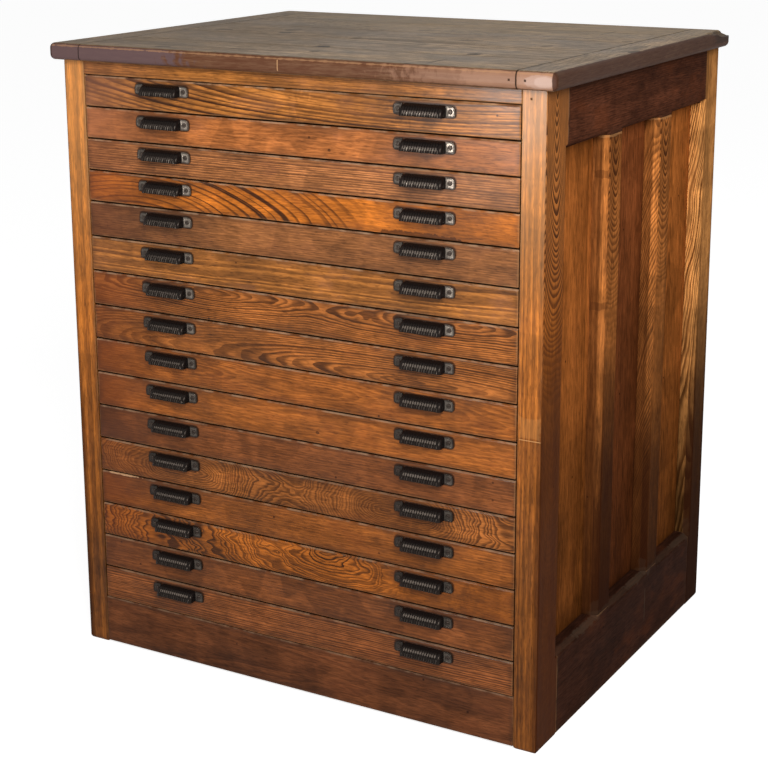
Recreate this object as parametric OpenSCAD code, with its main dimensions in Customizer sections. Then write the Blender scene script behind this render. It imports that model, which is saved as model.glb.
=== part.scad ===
// Flat-file cabinet: a panelled wooden carcass with a stack of shallow drawers on wooden runners.
// Sizes are in millimetres. +Z is up, the drawers face -Y and +X is to the right.
// The origin is on the floor, in the middle of the cabinet's outline.

/* [Carcass] */
// Width over the corner posts
carcass_w = 914; // [760:1:1100]
// Depth from the front faces of the posts to their back faces
carcass_d = 740; // [640:1:900]
// Thickness of the side frames, which is also the posts' width on the front
frame_t = 42; // [40:1:60]
// Depth of a front post, seen from the side
front_post_d = 76; // [60:1:110]
// Depth of a back post, seen from the side
back_post_d = 60; // [52:1:110]
// Height of the rails and the plinth above the floor
floor_gap = 5; // [2:0.5:12]

/* [Side frames] */
// Height of the upper side rails
side_top_rail_h = 98; // [60:1:140]
// Height of the lower side rails
side_bottom_rail_h = 145; // [90:1:200]
// Number of panels in each side
panel_count = 3; // [2:1:4]
// Width of the upright muntins between the panels
muntin_w = 62; // [40:1:80]
// Thickness of a panel
panel_t = 8; // [6:0.5:10]
// Depth of a panel's face below the face of its frame
panel_recess = 28; // [16:0.5:30]
// Width of the chamfer round each panel, on the face of the frame
chamfer_w = 8; // [3:0.5:14]
// Depth of that chamfer
chamfer_d = 12; // [4:0.5:14]
// Depth of the grooves that hold the panels and the tongues of the rails
groove_d = 10; // [6:0.5:12]
// Play between a panel's edge and the bottom of its groove
panel_play = 0.8; // [0.2:0.1:2]
// Room left past the end of a tongue or tenon
end_play = 0.5; // [0.2:0.1:1]
// Gap at a glued joint between pieces of one group
joint_gap = 0.15; // [0.05:0.05:0.4]

/* [Front and back] */
// Height of the rail above the drawers
front_rail_h = 23; // [20:0.5:40]
// Height of the plinth below the drawers
plinth_h = 87; // [50:1:140]
// Thickness of the front rail and the plinth
front_board_t = 24; // [18:1:36]
// Height of the rails across the back
back_rail_h = 90; // [50:1:140]
// Thickness of the rails across the back
back_rail_t = 22; // [16:1:30]
// Thickness of the back boards
back_board_t = 12; // [8:0.5:16]
// Number of upright back boards
back_board_count = 6; // [3:1:9]
// Gap between one back board and the next
back_board_gap = 1; // [0.2:0.1:3]
// Length of the tenons that join the cross rails to the posts
tenon_l = 12; // [8:0.5:16]
// Thickness of those tenons
tenon_t = 10; // [6:0.5:12]
// Shoulder above and below those tenons
tenon_shoulder = 5; // [3:0.5:8]

/* [Top] */
// Thickness of the top
top_t = 29; // [22:0.5:40]
// Overhang of the top past the front of the posts
top_front_overhang = 16; // [0:0.5:30]
// Overhang of the top past each side
top_side_overhang = 20.5; // [5:0.5:40]
// Overhang of the top past the back of the posts
top_back_overhang = 0; // [0:0.5:30]
// Width of the breadboard ends
breadboard_w = 66; // [45:1:110]
// Number of boards between the breadboard ends
top_board_count = 5; // [3:1:8]
// Radius of the rounded edges of the top
top_edge_r = 6; // [2:0.5:9]
// Thickness of the tongue that joins the boards to the breadboard ends
top_tongue_t = 10; // [6:0.5:14]
// Length of that tongue
top_tongue_l = 14; // [8:0.5:24]

/* [Drawers] */
// Number of shallow drawers, at the top of the stack
shallow_count = 4; // [0:1:6]
// Height from one shallow drawer to the next
shallow_pitch = 55; // [50:0.25:75]
// Number of deeper drawers below them
deep_count = 12; // [1:1:12]
// Height from one deeper drawer to the next
deep_pitch = 61.75; // [52:0.25:90]
// Thickness of a drawer front
front_t = 22; // [19:0.5:30]
// Gap between one drawer front and the next
front_gap = 2.5; // [1:0.25:4]
// Gap between a drawer and the posts on each side
drawer_side_gap = 2; // [0.5:0.25:4]
// Thickness of a drawer's sides
drawer_side_t = 12; // [10:0.5:18]
// Depth of the rabbet in a drawer front that takes a side
rabbet_d = 12; // [6:0.5:14]
// Thickness of a drawer's back
drawer_back_t = 12; // [8:0.5:18]
// Thickness of a drawer's bottom
drawer_bottom_t = 5; // [4:0.5:8]
// Height of the bottom above the lower edges of the sides
drawer_bottom_rise = 5; // [3:0.5:10]
// Depth of the grooves that hold the bottom
bottom_groove_d = 6; // [3:0.5:7]
// Clear space behind a closed drawer
drawer_back_gap = 6; // [2:0.5:30]

/* [Runners] */
// Height of the runner under each drawer side
runner_h = 10; // [6:0.5:16]
// Width of the runner
runner_w = 18; // [16:0.5:40]
// Gap between a drawer's sides and the runner above, which keeps the drawer from tipping
kicker_gap = 3; // [1:0.5:6]

/* [Pulls] */
// Distance between the middles of the two pulls on a drawer
pull_spacing = 500; // [260:1:560]
// Distance from the top of a drawer front down to the middle of its pulls
pull_drop = 17.5; // [14:0.5:26]
// Length of a pull's hood
hood_l = 76; // [50:1:110]
// Radius of the hood, which is its height and how far it stands out
hood_r = 18; // [14:0.5:24]
// Wall of the hood
hood_wall = 3; // [2:0.25:4]
// Length of the ear at each end of the hood
ear_l = 16; // [14:0.5:26]
// Thickness of the ears
ear_t = 3; // [2:0.25:5]
// Radius of the ears' upper corners
ear_upper_r = 9; // [3:0.5:12]
// Radius of the ears' lower corners
ear_lower_r = 3; // [1:0.5:5]
// Radius of a screw's shank
screw_r = 1.9; // [1.5:0.1:2.5]
// Length of a screw under its head
screw_l = 14; // [10:0.5:18]
// Radius of a screw's head
screw_head_r = 3.8; // [3:0.1:4.5]
// Height of a screw's head
screw_head_h = 1.8; // [1.2:0.1:2.4]
// Width of the slot in a screw's head
screw_slot_w = 0.9; // [0.6:0.1:1.4]
// Clearance round a screw's shank and under its head
screw_clearance = 0.1; // [0.05:0.05:0.3]

/* [Hidden] */
// Overlap that lets one shape cut cleanly through another
cut = 1;
// Sides of the round parts
round_sides = 48;
// Steps in a rounded corner
corner_steps = 5;

drawer_count = shallow_count + deep_count;
stack_h = shallow_count * shallow_pitch + deep_count * deep_pitch;
opening_bottom = floor_gap + plinth_h;
opening_top = opening_bottom + stack_h;
carcass_h = opening_top + front_rail_h;

front_y = -(carcass_d - max(hood_r, top_front_overhang)) / 2;
back_y = front_y + carcass_d;
outer_x = carcass_w / 2;
inner_x = outer_x - frame_t;

panel_face_x = outer_x - panel_recess;
panel_field_y = front_y + front_post_d;
panel_field_d = carcass_d - front_post_d - back_post_d;
panel_opening_d = (panel_field_d - (panel_count - 1) * muntin_w) / panel_count;
panel_bottom = floor_gap + side_bottom_rail_h;
panel_top = carcass_h - side_top_rail_h;

back_rail_y = back_y - back_board_t - back_rail_t;
tray_end_y = back_rail_y - drawer_back_gap;
drawer_half_w = inner_x - drawer_side_gap;
tray_inner_x = drawer_half_w - drawer_side_t;
front_back_y = front_y + front_t;
side_front_y = front_back_y - rabbet_d;

post_color = "peru";
side_color = "saddlebrown";
top_color = [0.36, 0.29, 0.22];
inner_color = "burlywood";
iron_color = [0.14, 0.12, 0.11];

function two_digits(n) = str(n < 10 ? "0" : "", n);
function drawer_node(i, piece) = str("drawer_", two_digits(i + 1), "_", piece);

// Height of the line between drawer i - 1 and drawer i, counted from the top
function slot_line(i) = opening_top - min(i, shallow_count) * shallow_pitch
    - max(i - shallow_count, 0) * deep_pitch;
function front_bottom(i) = slot_line(i + 1) + front_gap / 2;
function front_top(i) = slot_line(i) - front_gap / 2;
function tray_bottom(i) = slot_line(i + 1) + runner_h;
function tray_top(i) = slot_line(i) - kicker_gap;
function panel_opening_y(k) = panel_field_y + k * (panel_opening_d + muntin_w);

// Points of a quarter circle of radius r round centre c, from one angle to another
function corner(c, r, from, to) = [
    for (s = [0 : corner_steps])
        let (a = from + (to - from) * s / corner_steps) c + r * [cos(a), sin(a)]
];

CARCASS_NODES = [
    "corner_posts", "side_top_rails", "side_bottom_rails", "side_muntins", "side_panels",
    "front_top_rail", "plinth", "back_rails", "back_boards", "top_boards", "breadboard_ends",
    "drawer_runners"
];
DRAWER_PIECES = ["front", "tray", "pulls"];

// A box between two opposite corners
module box(low, high) {
    translate(low) cube(high - low);
}

// The right half and its mirror image on the left
module both_sides() {
    children();
    mirror([1, 0, 0]) children();
}

// Slice of the side frame, as thick as a panel, that the grooves and tongues lie in
module frame_slice(y0, z0, y1, z1) {
    box([panel_face_x - panel_t, y0, z0], [panel_face_x, y1, z1]);
}

// Chamfer round one panel opening, mitred in its corners
module opening_chamfer(k) {
    slope = chamfer_w / chamfer_d;
    wide = chamfer_w + cut * slope;
    narrow = -cut * slope;
    out_x = outer_x + cut;
    in_x = outer_x - chamfer_d - cut;
    y0 = panel_opening_y(k);
    y1 = y0 + panel_opening_d;
    intersection() {
        translate([0, 0, panel_bottom - wide - cut])
            linear_extrude(panel_top - panel_bottom + 2 * (wide + cut))
                polygon([[in_x, y0 - narrow], [out_x, y0 - wide], [out_x, y1 + wide], [in_x, y1 + narrow]]);
        translate([0, y1 + wide + cut, 0]) rotate([90, 0, 0])
            linear_extrude(panel_opening_d + 2 * (wide + cut))
                polygon([
                    [in_x, panel_bottom - narrow], [out_x, panel_bottom - wide],
                    [out_x, panel_top + wide], [in_x, panel_top + narrow]
                ]);
    }
}

module opening_chamfers() {
    for (k = [0 : panel_count - 1]) opening_chamfer(k);
}

// Cross board between the posts, with a tenon on each end
module cross_board(y0, z0, y1, z1) {
    box([-inner_x, y0, z0], [inner_x, y1, z1]);
    cross_tenons(y0, z0, y1, z1, tenon_l);
}

// Tenons of a cross board, or the mortises for them where the length is greater
module cross_tenons(y0, z0, y1, z1, length) {
    mid_y = (y0 + y1) / 2;
    both_sides()
        box(
            [inner_x - cut, mid_y - tenon_t / 2, z0 + tenon_shoulder],
            [inner_x + length, mid_y + tenon_t / 2, z1 - tenon_shoulder]
        );
}

module front_rail_tenons(length) {
    cross_tenons(front_y, opening_top, front_y + front_board_t, carcass_h, length);
}

module plinth_tenons(length) {
    cross_tenons(front_y, floor_gap, front_y + front_board_t, opening_bottom, length);
}

module back_rail_tenons(length) {
    for (z = back_rail_heights())
        cross_tenons(back_rail_y, z, back_rail_y + back_rail_t, z + back_rail_h, length);
}

function back_rail_heights() = [floor_gap, carcass_h - back_rail_h];

// Posts at the four corners, grooved for the side frames and mortised for the cross rails
module corner_posts() {
    color(post_color) both_sides() difference() {
        union() {
            box([inner_x, front_y, 0], [outer_x, panel_field_y, carcass_h]);
            box([inner_x, back_y - back_post_d, 0], [outer_x, back_y, carcass_h]);
        }
        frame_slice(
            panel_field_y - groove_d, floor_gap, back_y - back_post_d + groove_d, carcass_h + cut
        );
        opening_chamfers();
        front_rail_tenons(tenon_l + end_play);
        plinth_tenons(tenon_l + end_play);
        back_rail_tenons(tenon_l + end_play);
    }
}

// Side rail with a tongue in each post
module side_rail(z0, z1) {
    tongue = groove_d - end_play;
    box([inner_x, panel_field_y, z0], [outer_x, panel_field_y + panel_field_d, z1]);
    frame_slice(panel_field_y - tongue, z0, panel_field_y + panel_field_d + tongue, z1);
}

module side_top_rails() {
    color(side_color) both_sides() difference() {
        side_rail(panel_top, carcass_h);
        frame_slice(panel_field_y - groove_d, panel_top - cut, back_y, panel_top + groove_d);
        opening_chamfers();
    }
}

module side_bottom_rails() {
    color(side_color) both_sides() difference() {
        side_rail(floor_gap, panel_bottom);
        frame_slice(panel_field_y - groove_d, panel_bottom - groove_d, back_y, panel_bottom + cut);
        opening_chamfers();
    }
}

// Uprights between the panels, with a tongue in each rail and a groove along each edge
module side_muntins() {
    tongue = groove_d - end_play;
    color(side_color) both_sides()
        for (k = [0 : panel_count - 2]) {
            y0 = panel_opening_y(k) + panel_opening_d;
            y1 = y0 + muntin_w;
            difference() {
                union() {
                    box([inner_x, y0, panel_bottom], [outer_x, y1, panel_top]);
                    frame_slice(y0 + groove_d, panel_bottom - tongue, y1 - groove_d, panel_top + tongue);
                }
                frame_slice(y0 - cut, panel_bottom - groove_d, y0 + groove_d, panel_top + groove_d);
                frame_slice(y1 - groove_d, panel_bottom - groove_d, y1 + cut, panel_top + groove_d);
                opening_chamfers();
            }
        }
}

// Panels, loose in the grooves of their frames
module side_panels() {
    reach = groove_d - panel_play;
    color(side_color) both_sides()
        for (k = [0 : panel_count - 1]) {
            y0 = panel_opening_y(k);
            frame_slice(y0 - reach, panel_bottom - reach, y0 + panel_opening_d + reach, panel_top + reach);
        }
}

module front_top_rail() {
    color(post_color) cross_board(front_y, opening_top, front_y + front_board_t, carcass_h);
}

module plinth() {
    color(side_color) cross_board(front_y, floor_gap, front_y + front_board_t, opening_bottom);
}

module back_rails() {
    color(inner_color)
        for (z = back_rail_heights())
            cross_board(back_rail_y, z, back_rail_y + back_rail_t, z + back_rail_h);
}

// Upright boards nailed to the back rails, between the back posts
module back_boards() {
    pitch = (2 * inner_x + back_board_gap) / back_board_count;
    color(inner_color)
        for (k = [0 : back_board_count - 1]) {
            x0 = -inner_x + k * pitch;
            box(
                [x0, back_y - back_board_t, floor_gap],
                [x0 + pitch - back_board_gap, back_y, carcass_h]
            );
        }
}

top_front_y = front_y - top_front_overhang;
top_d = carcass_d + top_front_overhang + top_back_overhang;
top_half_w = outer_x + top_side_overhang;
top_joint_x = top_half_w - breadboard_w;
top_tongue_z = carcass_h + (top_t - top_tongue_t) / 2;

// Section of a board whose edge at 0 is rounded: across the board, then up
function rounded_edge(width) = concat(
    [[width, 0]], [[width, top_t]],
    corner([top_edge_r, top_t - top_edge_r], top_edge_r, 90, 180),
    corner([top_edge_r, top_edge_r], top_edge_r, 180, 270)
);

// A board of the top from y0 to y1, along X, with its front or its back edge rounded
module top_board(y0, y1, round_front, round_back) {
    if (round_front)
        translate([-top_joint_x, y0, carcass_h]) rotate([90, 0, 90])
            linear_extrude(2 * top_joint_x) polygon(rounded_edge(y1 - y0));
    else if (round_back)
        translate([top_joint_x, y1, carcass_h]) rotate([90, 0, -90])
            linear_extrude(2 * top_joint_x) polygon(rounded_edge(y1 - y0));
    else
        box([-top_joint_x, y0, carcass_h], [top_joint_x, y1, carcass_h + top_t]);
}

// Boards of the top, with a tongue in each breadboard end
module top_boards() {
    pitch = (top_d + joint_gap) / top_board_count;
    tongue_x = top_joint_x + top_tongue_l - end_play;
    color(top_color)
        for (k = [0 : top_board_count - 1]) {
            y0 = top_front_y + k * pitch;
            y1 = y0 + pitch - joint_gap;
            first = k == 0;
            last = k == top_board_count - 1;
            top_board(y0, y1, first, last);
            box(
                [-tongue_x, first ? y0 + top_edge_r : y0, top_tongue_z],
                [tongue_x, last ? y1 - top_edge_r : y1, top_tongue_z + top_tongue_t]
            );
        }
}

// Ends of the top, across the boards, rounded on the outside and at the front and back
module breadboard_ends() {
    color(top_color) both_sides() difference() {
        intersection() {
            translate([top_half_w, top_front_y + top_d, carcass_h]) rotate([90, 0, 0])
                linear_extrude(top_d) mirror([1, 0]) polygon(rounded_edge(breadboard_w));
            translate([top_joint_x - cut, 0, carcass_h]) rotate([90, 0, 90])
                linear_extrude(breadboard_w + 2 * cut) union() {
                    translate([top_front_y, 0]) polygon(rounded_edge(top_d / 2));
                    translate([top_front_y + top_d, 0]) mirror([1, 0]) polygon(rounded_edge(top_d / 2));
                }
        }
        box(
            [top_joint_x - cut, top_front_y + top_edge_r, top_tongue_z],
            [
                top_joint_x + top_tongue_l,
                top_front_y + top_d - top_edge_r,
                top_tongue_z + top_tongue_t
            ]
        );
    }
}

// A runner under each side of each drawer, which the front of the closed drawer stops against
module drawer_runners() {
    color(inner_color) both_sides()
        for (i = [0 : drawer_count - 1])
            box(
                [inner_x - runner_w, front_back_y, slot_line(i + 1)],
                [inner_x, back_rail_y, slot_line(i + 1) + runner_h]
            );
}

// Bottom of drawer i, or the grooves that hold it where it is grown by a gap
module drawer_bottom(i, grow) {
    z0 = tray_bottom(i) + drawer_bottom_rise;
    half_w = tray_inner_x + bottom_groove_d - joint_gap + grow;
    box(
        [-half_w, front_back_y - bottom_groove_d - grow, z0 - grow],
        [half_w, tray_end_y + grow, z0 + drawer_bottom_t + grow]
    );
}

// Middle of drawer i's pulls, on the face of its front
function pull_z(i) = front_top(i) - pull_drop;

module at_pulls(i) {
    for (side = [-1, 1]) translate([side * pull_spacing / 2, front_y, pull_z(i)]) children();
}

module at_screws() {
    for (side = [-1, 1]) translate([side * (hood_l + ear_l) / 2, 0, 0]) children();
}

// Cylinder that points into the drawer front, from the face of the pull's ears
module screw_hole(r, length) {
    translate([0, -ear_t - cut, 0]) rotate([-90, 0, 0])
        cylinder(r = r, h = length + cut, $fn = round_sides);
}

// Front of drawer i, rabbeted for the sides, grooved for the bottom and drilled for the pulls
module drawer_front(i) {
    color(post_color) difference() {
        box(
            [-drawer_half_w, front_y, front_bottom(i)],
            [drawer_half_w, front_back_y, front_top(i)]
        );
        both_sides()
            box(
                [tray_inner_x, side_front_y, front_bottom(i) - cut],
                [drawer_half_w + cut, front_back_y + cut, front_top(i) + cut]
            );
        drawer_bottom(i, joint_gap);
        at_pulls(i) at_screws() screw_hole(screw_r + screw_clearance, screw_l + end_play);
    }
}

// Sides, back and bottom of drawer i
module drawer_tray(i) {
    back_half_w = tray_inner_x - joint_gap;
    back_bottom = tray_bottom(i) + drawer_bottom_rise + drawer_bottom_t + joint_gap;
    color(inner_color) {
        both_sides() difference() {
            box([tray_inner_x, side_front_y, tray_bottom(i)], [drawer_half_w, tray_end_y, tray_top(i)]);
            drawer_bottom(i, joint_gap);
        }
        box(
            [-back_half_w, tray_end_y - drawer_back_t, back_bottom],
            [back_half_w, tray_end_y, tray_top(i)]
        );
        drawer_bottom(i, 0);
    }
}

// Outline of a pull's two ears and what joins them, seen from the front
module ear_plate() {
    half_l = hood_l / 2 + ear_l;
    half_h = hood_r / 2;
    polygon(concat(
        corner([half_l - ear_upper_r, half_h - ear_upper_r], ear_upper_r, 0, 90),
        corner([-half_l + ear_upper_r, half_h - ear_upper_r], ear_upper_r, 90, 180),
        corner([-half_l + ear_lower_r, -half_h + ear_lower_r], ear_lower_r, 180, 270),
        corner([half_l - ear_lower_r, -half_h + ear_lower_r], ear_lower_r, 270, 360)
    ));
}

// Quarter of a cylinder that lies along X, with its corner at the pull's lower back edge
module quarter_round(r, length, drop) {
    intersection() {
        translate([-length / 2, 0, -hood_r / 2]) rotate([0, 90, 0])
            cylinder(r = r, h = length, $fn = round_sides);
        box([-length, -r - cut, -hood_r / 2 - drop], [length, drop, hood_r]);
    }
}

// Cup pull: a hood that is open below and at the back, between two flat ears
module pull() {
    difference() {
        union() {
            quarter_round(hood_r, hood_l, 0);
            rotate([90, 0, 0]) linear_extrude(ear_t) ear_plate();
        }
        quarter_round(hood_r - hood_wall, hood_l - 2 * hood_wall, cut);
        at_screws() screw_hole(screw_r + screw_clearance, ear_t + 2 * cut);
    }
}

// Wood screw with a slotted head on the face of an ear
module screw() {
    translate([0, -ear_t - screw_clearance, 0]) rotate([-90, 0, 0]) difference() {
        union() {
            cylinder(r = screw_r, h = screw_l, $fn = round_sides);
            translate([0, 0, -screw_head_h])
                cylinder(r = screw_head_r, h = screw_head_h, $fn = round_sides);
        }
        box(
            [-screw_head_r - cut, -screw_slot_w / 2, -screw_head_h - cut],
            [screw_head_r + cut, screw_slot_w / 2, -screw_head_h / 2]
        );
    }
}

// Two cup pulls and their screws
module drawer_pulls(i) {
    color(iron_color) at_pulls(i) {
        pull();
        at_screws() screw();
    }
}

corner_posts();
side_top_rails();
side_bottom_rails();
side_muntins();
side_panels();
front_top_rail();
plinth();
back_rails();
back_boards();
top_boards();
breadboard_ends();
drawer_runners();
for (i = [0 : drawer_count - 1]) {
    drawer_front(i);
    drawer_tray(i);
    drawer_pulls(i);
}
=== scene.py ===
"""Looks of the flat-file cabinet: old varnished pine, iron cup pulls and a plain white studio.

Lengths are in metres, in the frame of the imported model: +Z is up, and the drawers face -Y.
"""
import logging
import math
from contextlib import contextmanager
from dataclasses import dataclass, field, replace
from enum import Enum
from functools import cache
from typing import Callable, Iterator

import bmesh
import bpy
from mathutils import Matrix, Vector


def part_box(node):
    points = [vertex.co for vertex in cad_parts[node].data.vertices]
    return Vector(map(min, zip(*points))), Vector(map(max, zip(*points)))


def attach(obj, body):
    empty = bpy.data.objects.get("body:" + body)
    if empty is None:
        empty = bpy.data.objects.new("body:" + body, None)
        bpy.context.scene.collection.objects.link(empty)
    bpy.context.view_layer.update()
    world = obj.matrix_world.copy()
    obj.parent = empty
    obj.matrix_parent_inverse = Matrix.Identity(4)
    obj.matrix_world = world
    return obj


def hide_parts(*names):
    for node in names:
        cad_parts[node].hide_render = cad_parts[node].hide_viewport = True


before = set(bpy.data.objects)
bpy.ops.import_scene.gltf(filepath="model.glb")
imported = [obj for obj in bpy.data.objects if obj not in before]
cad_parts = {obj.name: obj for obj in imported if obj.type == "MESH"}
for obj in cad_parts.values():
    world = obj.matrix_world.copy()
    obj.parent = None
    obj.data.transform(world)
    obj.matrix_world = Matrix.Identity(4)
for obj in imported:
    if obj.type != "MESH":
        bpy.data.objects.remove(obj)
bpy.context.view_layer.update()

CARCASS = "carcass"
RUB_AND_LIGHT = "rub"
POST_T = 0.042
NEAR_BY = 0.00001
SHARP_ANGLE = math.radians(30)
SMOOTH_ANGLE = math.radians(40)

log = logging.getLogger("cabinet")

Colour = tuple[float, float, float, float]
Triple = tuple[float, float, float]
Socket = bpy.types.NodeSocket
VectorTest = Callable[[Vector, Vector], bool]


def paint(red: int, green: int, blue: int) -> Colour:
    """Turns a colour in screen values from 0 to 255 into a linear one.

    Args:
        red: Red part.
        green: Green part.
        blue: Blue part.

    Returns:
        The linear colour, with an alpha of 1.
    """
    parts = [value / 255 for value in (red, green, blue)]
    linear = [v / 12.92 if v <= 0.04045 else ((v + 0.055) / 1.055) ** 2.4 for v in parts]
    return (*linear, 1.0)


def grey(level: float) -> Colour:
    """Returns a linear grey."""
    return (level, level, level, 1.0)


class Workpiece:
    """One mesh on the bench, and the moves that shape it."""

    def __init__(self, piece: bpy.types.Object) -> None:
        """Takes up an object that is a mesh."""
        self.piece = piece

    @staticmethod
    def clear_bench() -> None:
        """Deselects everything, so that the next move acts on one piece."""
        bpy.ops.object.select_all(action="DESELECT")

    @classmethod
    def take_new(cls, name: str) -> "Workpiece":
        """Names the primitive that was just added, and puts its place in its mesh.

        Args:
            name: Name of the new piece.

        Returns:
            The new piece.
        """
        piece = bpy.context.object
        piece.name = name
        piece.data.name = name
        bpy.ops.object.transform_apply(location=True, rotation=True, scale=True)
        return cls(piece)

    @classmethod
    def block(cls, name: str, low: Vector, high: Vector) -> "Workpiece":
        """Adds a block between two opposite corners.

        Args:
            name: Name of the new piece.
            low: Lowest corner.
            high: Highest corner.

        Returns:
            The new piece.
        """
        cls.clear_bench()
        bpy.ops.mesh.primitive_cube_add(size=1, location=(low + high) / 2, scale=high - low)
        return cls.take_new(name)

    @classmethod
    def rod(
        cls, name: str, centre: Vector, radius: float, length: float, turn: Triple, sides: int
    ) -> "Workpiece":
        """Adds a round bar.

        Args:
            name: Name of the new piece.
            centre: Middle of the bar.
            radius: Radius of the bar.
            length: Length of the bar.
            turn: Angles that turn the bar from upright.
            sides: Number of sides.

        Returns:
            The new piece.
        """
        cls.clear_bench()
        bpy.ops.mesh.primitive_cylinder_add(
            vertices=sides, radius=radius, depth=length, location=centre, rotation=turn
        )
        return cls.take_new(name)

    @classmethod
    def pebble(cls, name: str, centre: Vector, size: Vector) -> "Workpiece":
        """Adds a rough lump, which a chip is cut with.

        Args:
            name: Name of the new piece.
            centre: Middle of the lump.
            size: Half sizes of the lump.

        Returns:
            The new piece.
        """
        cls.clear_bench()
        bpy.ops.mesh.primitive_ico_sphere_add(subdivisions=2, radius=1, location=centre, scale=size)
        return cls.take_new(name)

    def hold(self) -> None:
        """Selects this piece alone and makes it the active one."""
        self.clear_bench()
        self.piece.select_set(True)
        bpy.context.view_layer.objects.active = self.piece

    @contextmanager
    def editing(self, kind: str = "EDGE") -> Iterator[None]:
        """Opens the piece in edit mode, with nothing selected.

        Args:
            kind: What is selected: VERT, EDGE or FACE.
        """
        self.hold()
        bpy.ops.object.mode_set(mode="EDIT")
        bpy.ops.mesh.select_mode(type=kind)
        bpy.ops.mesh.select_all(action="DESELECT")
        yield
        bpy.ops.object.mode_set(mode="OBJECT")

    def pick(self, kind: str, test: Callable[..., bool]) -> bool:
        """Selects the parts of the mesh that pass a test, in edit mode.

        Args:
            kind: Which parts: verts, edges or faces.
            test: Says if a part is selected.

        Returns:
            If any part passed.
        """
        mesh = bmesh.from_edit_mesh(self.piece.data)
        found = [part for part in getattr(mesh, kind) if test(part)]
        for part in found:
            part.select_set(True)
        bmesh.update_edit_mesh(self.piece.data)
        return bool(found)

    def pick_edges(self, test: VectorTest) -> bool:
        """Selects the edges whose two ends pass a test."""
        return self.pick("edges", lambda edge: test(edge.verts[0].co, edge.verts[1].co))

    def pick_faces(self, test: VectorTest) -> bool:
        """Selects the faces whose middle and normal pass a test."""
        return self.pick("faces", lambda face: test(face.calc_center_median(), face.normal))

    def pick_points(self, test: Callable[[Vector], bool]) -> bool:
        """Selects the points that pass a test."""
        return self.pick("verts", lambda point: test(point.co))

    def round_edges(self, test: VectorTest, radius: float, steps: int = 3) -> "Workpiece":
        """Rounds the edges whose two ends pass a test.

        Args:
            test: Says if an edge is rounded.
            radius: Radius of the rounding.
            steps: Faces across the rounding.

        Returns:
            The same piece.
        """
        with self.editing("EDGE"):
            self.pick_edges(test)
            bpy.ops.mesh.bevel(offset=radius, segments=steps, affect="EDGES", clamp_overlap=True)
        return self

    def apply(self, kind: str, **settings: object) -> "Workpiece":
        """Adds a modifier and applies it.

        Args:
            kind: Type of the modifier.
            settings: Values of its properties.

        Returns:
            The same piece.
        """
        self.hold()
        modifier = self.piece.modifiers.new(kind.title(), kind)
        for name, value in settings.items():
            setattr(modifier, name, value)
        bpy.ops.object.modifier_apply(modifier=modifier.name)
        return self

    def ease(self, width: float, steps: int = 2) -> "Workpiece":
        """Takes the sharpness off every arris."""
        return self.apply(
            "BEVEL", width=width, segments=steps, limit_method="ANGLE", angle_limit=SHARP_ANGLE
        )

    def cut(self, *cutters: "Workpiece") -> "Workpiece":
        """Cuts the shapes of other pieces out of this one."""
        for cutter in cutters:
            self.apply("BOOLEAN", object=cutter.piece, operation="DIFFERENCE", solver="EXACT")
        return self

    def chip(self, centre: Vector, size: Vector) -> "Workpiece":
        """Breaks a chip out of the piece."""
        lump = Workpiece.pebble("chip", centre, size)
        self.cut(lump)
        lump.discard()
        return self

    def discard(self) -> None:
        """Takes the piece off the bench."""
        bpy.data.objects.remove(self.piece, do_unlink=True)

    def copy(self, name: str, shift: Vector) -> "Workpiece":
        """Copies the piece, with its own mesh, to another place.

        Args:
            name: Name of the copy.
            shift: How far the copy is moved.

        Returns:
            The copy.
        """
        self.hold()
        bpy.ops.object.duplicate(linked=False)
        bpy.ops.transform.translate(value=shift)
        return Workpiece.take_new(name)

    def mirrored(self, name: str) -> "Workpiece":
        """Copies the piece to the other side of the cabinet.

        Args:
            name: Name of the copy.

        Returns:
            The mirrored copy.
        """
        self.hold()
        bpy.ops.object.duplicate(linked=False)
        bpy.context.object.scale.x = -1
        made = Workpiece.take_new(name)
        with made.editing("FACE"):
            bpy.ops.mesh.select_all(action="SELECT")
            bpy.ops.mesh.normals_make_consistent(inside=False)
        return made

    def join(self, *others: "Workpiece") -> "Workpiece":
        """Joins other pieces into this one."""
        self.hold()
        for other in others:
            other.piece.select_set(True)
        bpy.ops.object.join()
        return self

    def box(self) -> tuple[Vector, Vector]:
        """Returns the lowest and highest corners of the piece."""
        corners = [Vector(corner) for corner in self.piece.bound_box]
        return Vector(map(min, *corners)), Vector(map(max, *corners))

    def set_out(self, material: bpy.types.Material, body: str, slot: str, *nodes: str) -> "Workpiece":
        """Smooths and dresses the finished piece and gives it its place in the cabinet.

        Args:
            material: Material of the piece.
            body: Body that it moves with.
            slot: Material slot; not used.
            nodes: Nodes that it stands for.

        Returns:
            The same piece.
        """
        self.hold()
        bpy.ops.object.shade_smooth_by_angle(angle=SMOOTH_ANGLE)
        self.apply("WEIGHTED_NORMAL", keep_sharp=True, weight=100)
        self.piece.data.materials.clear()
        self.piece.data.materials.append(material)
        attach(self.piece, body)
        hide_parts(*nodes)
        log.info("%s rides on %s, in %s", self.piece.name, body, material.name)
        return self


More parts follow.
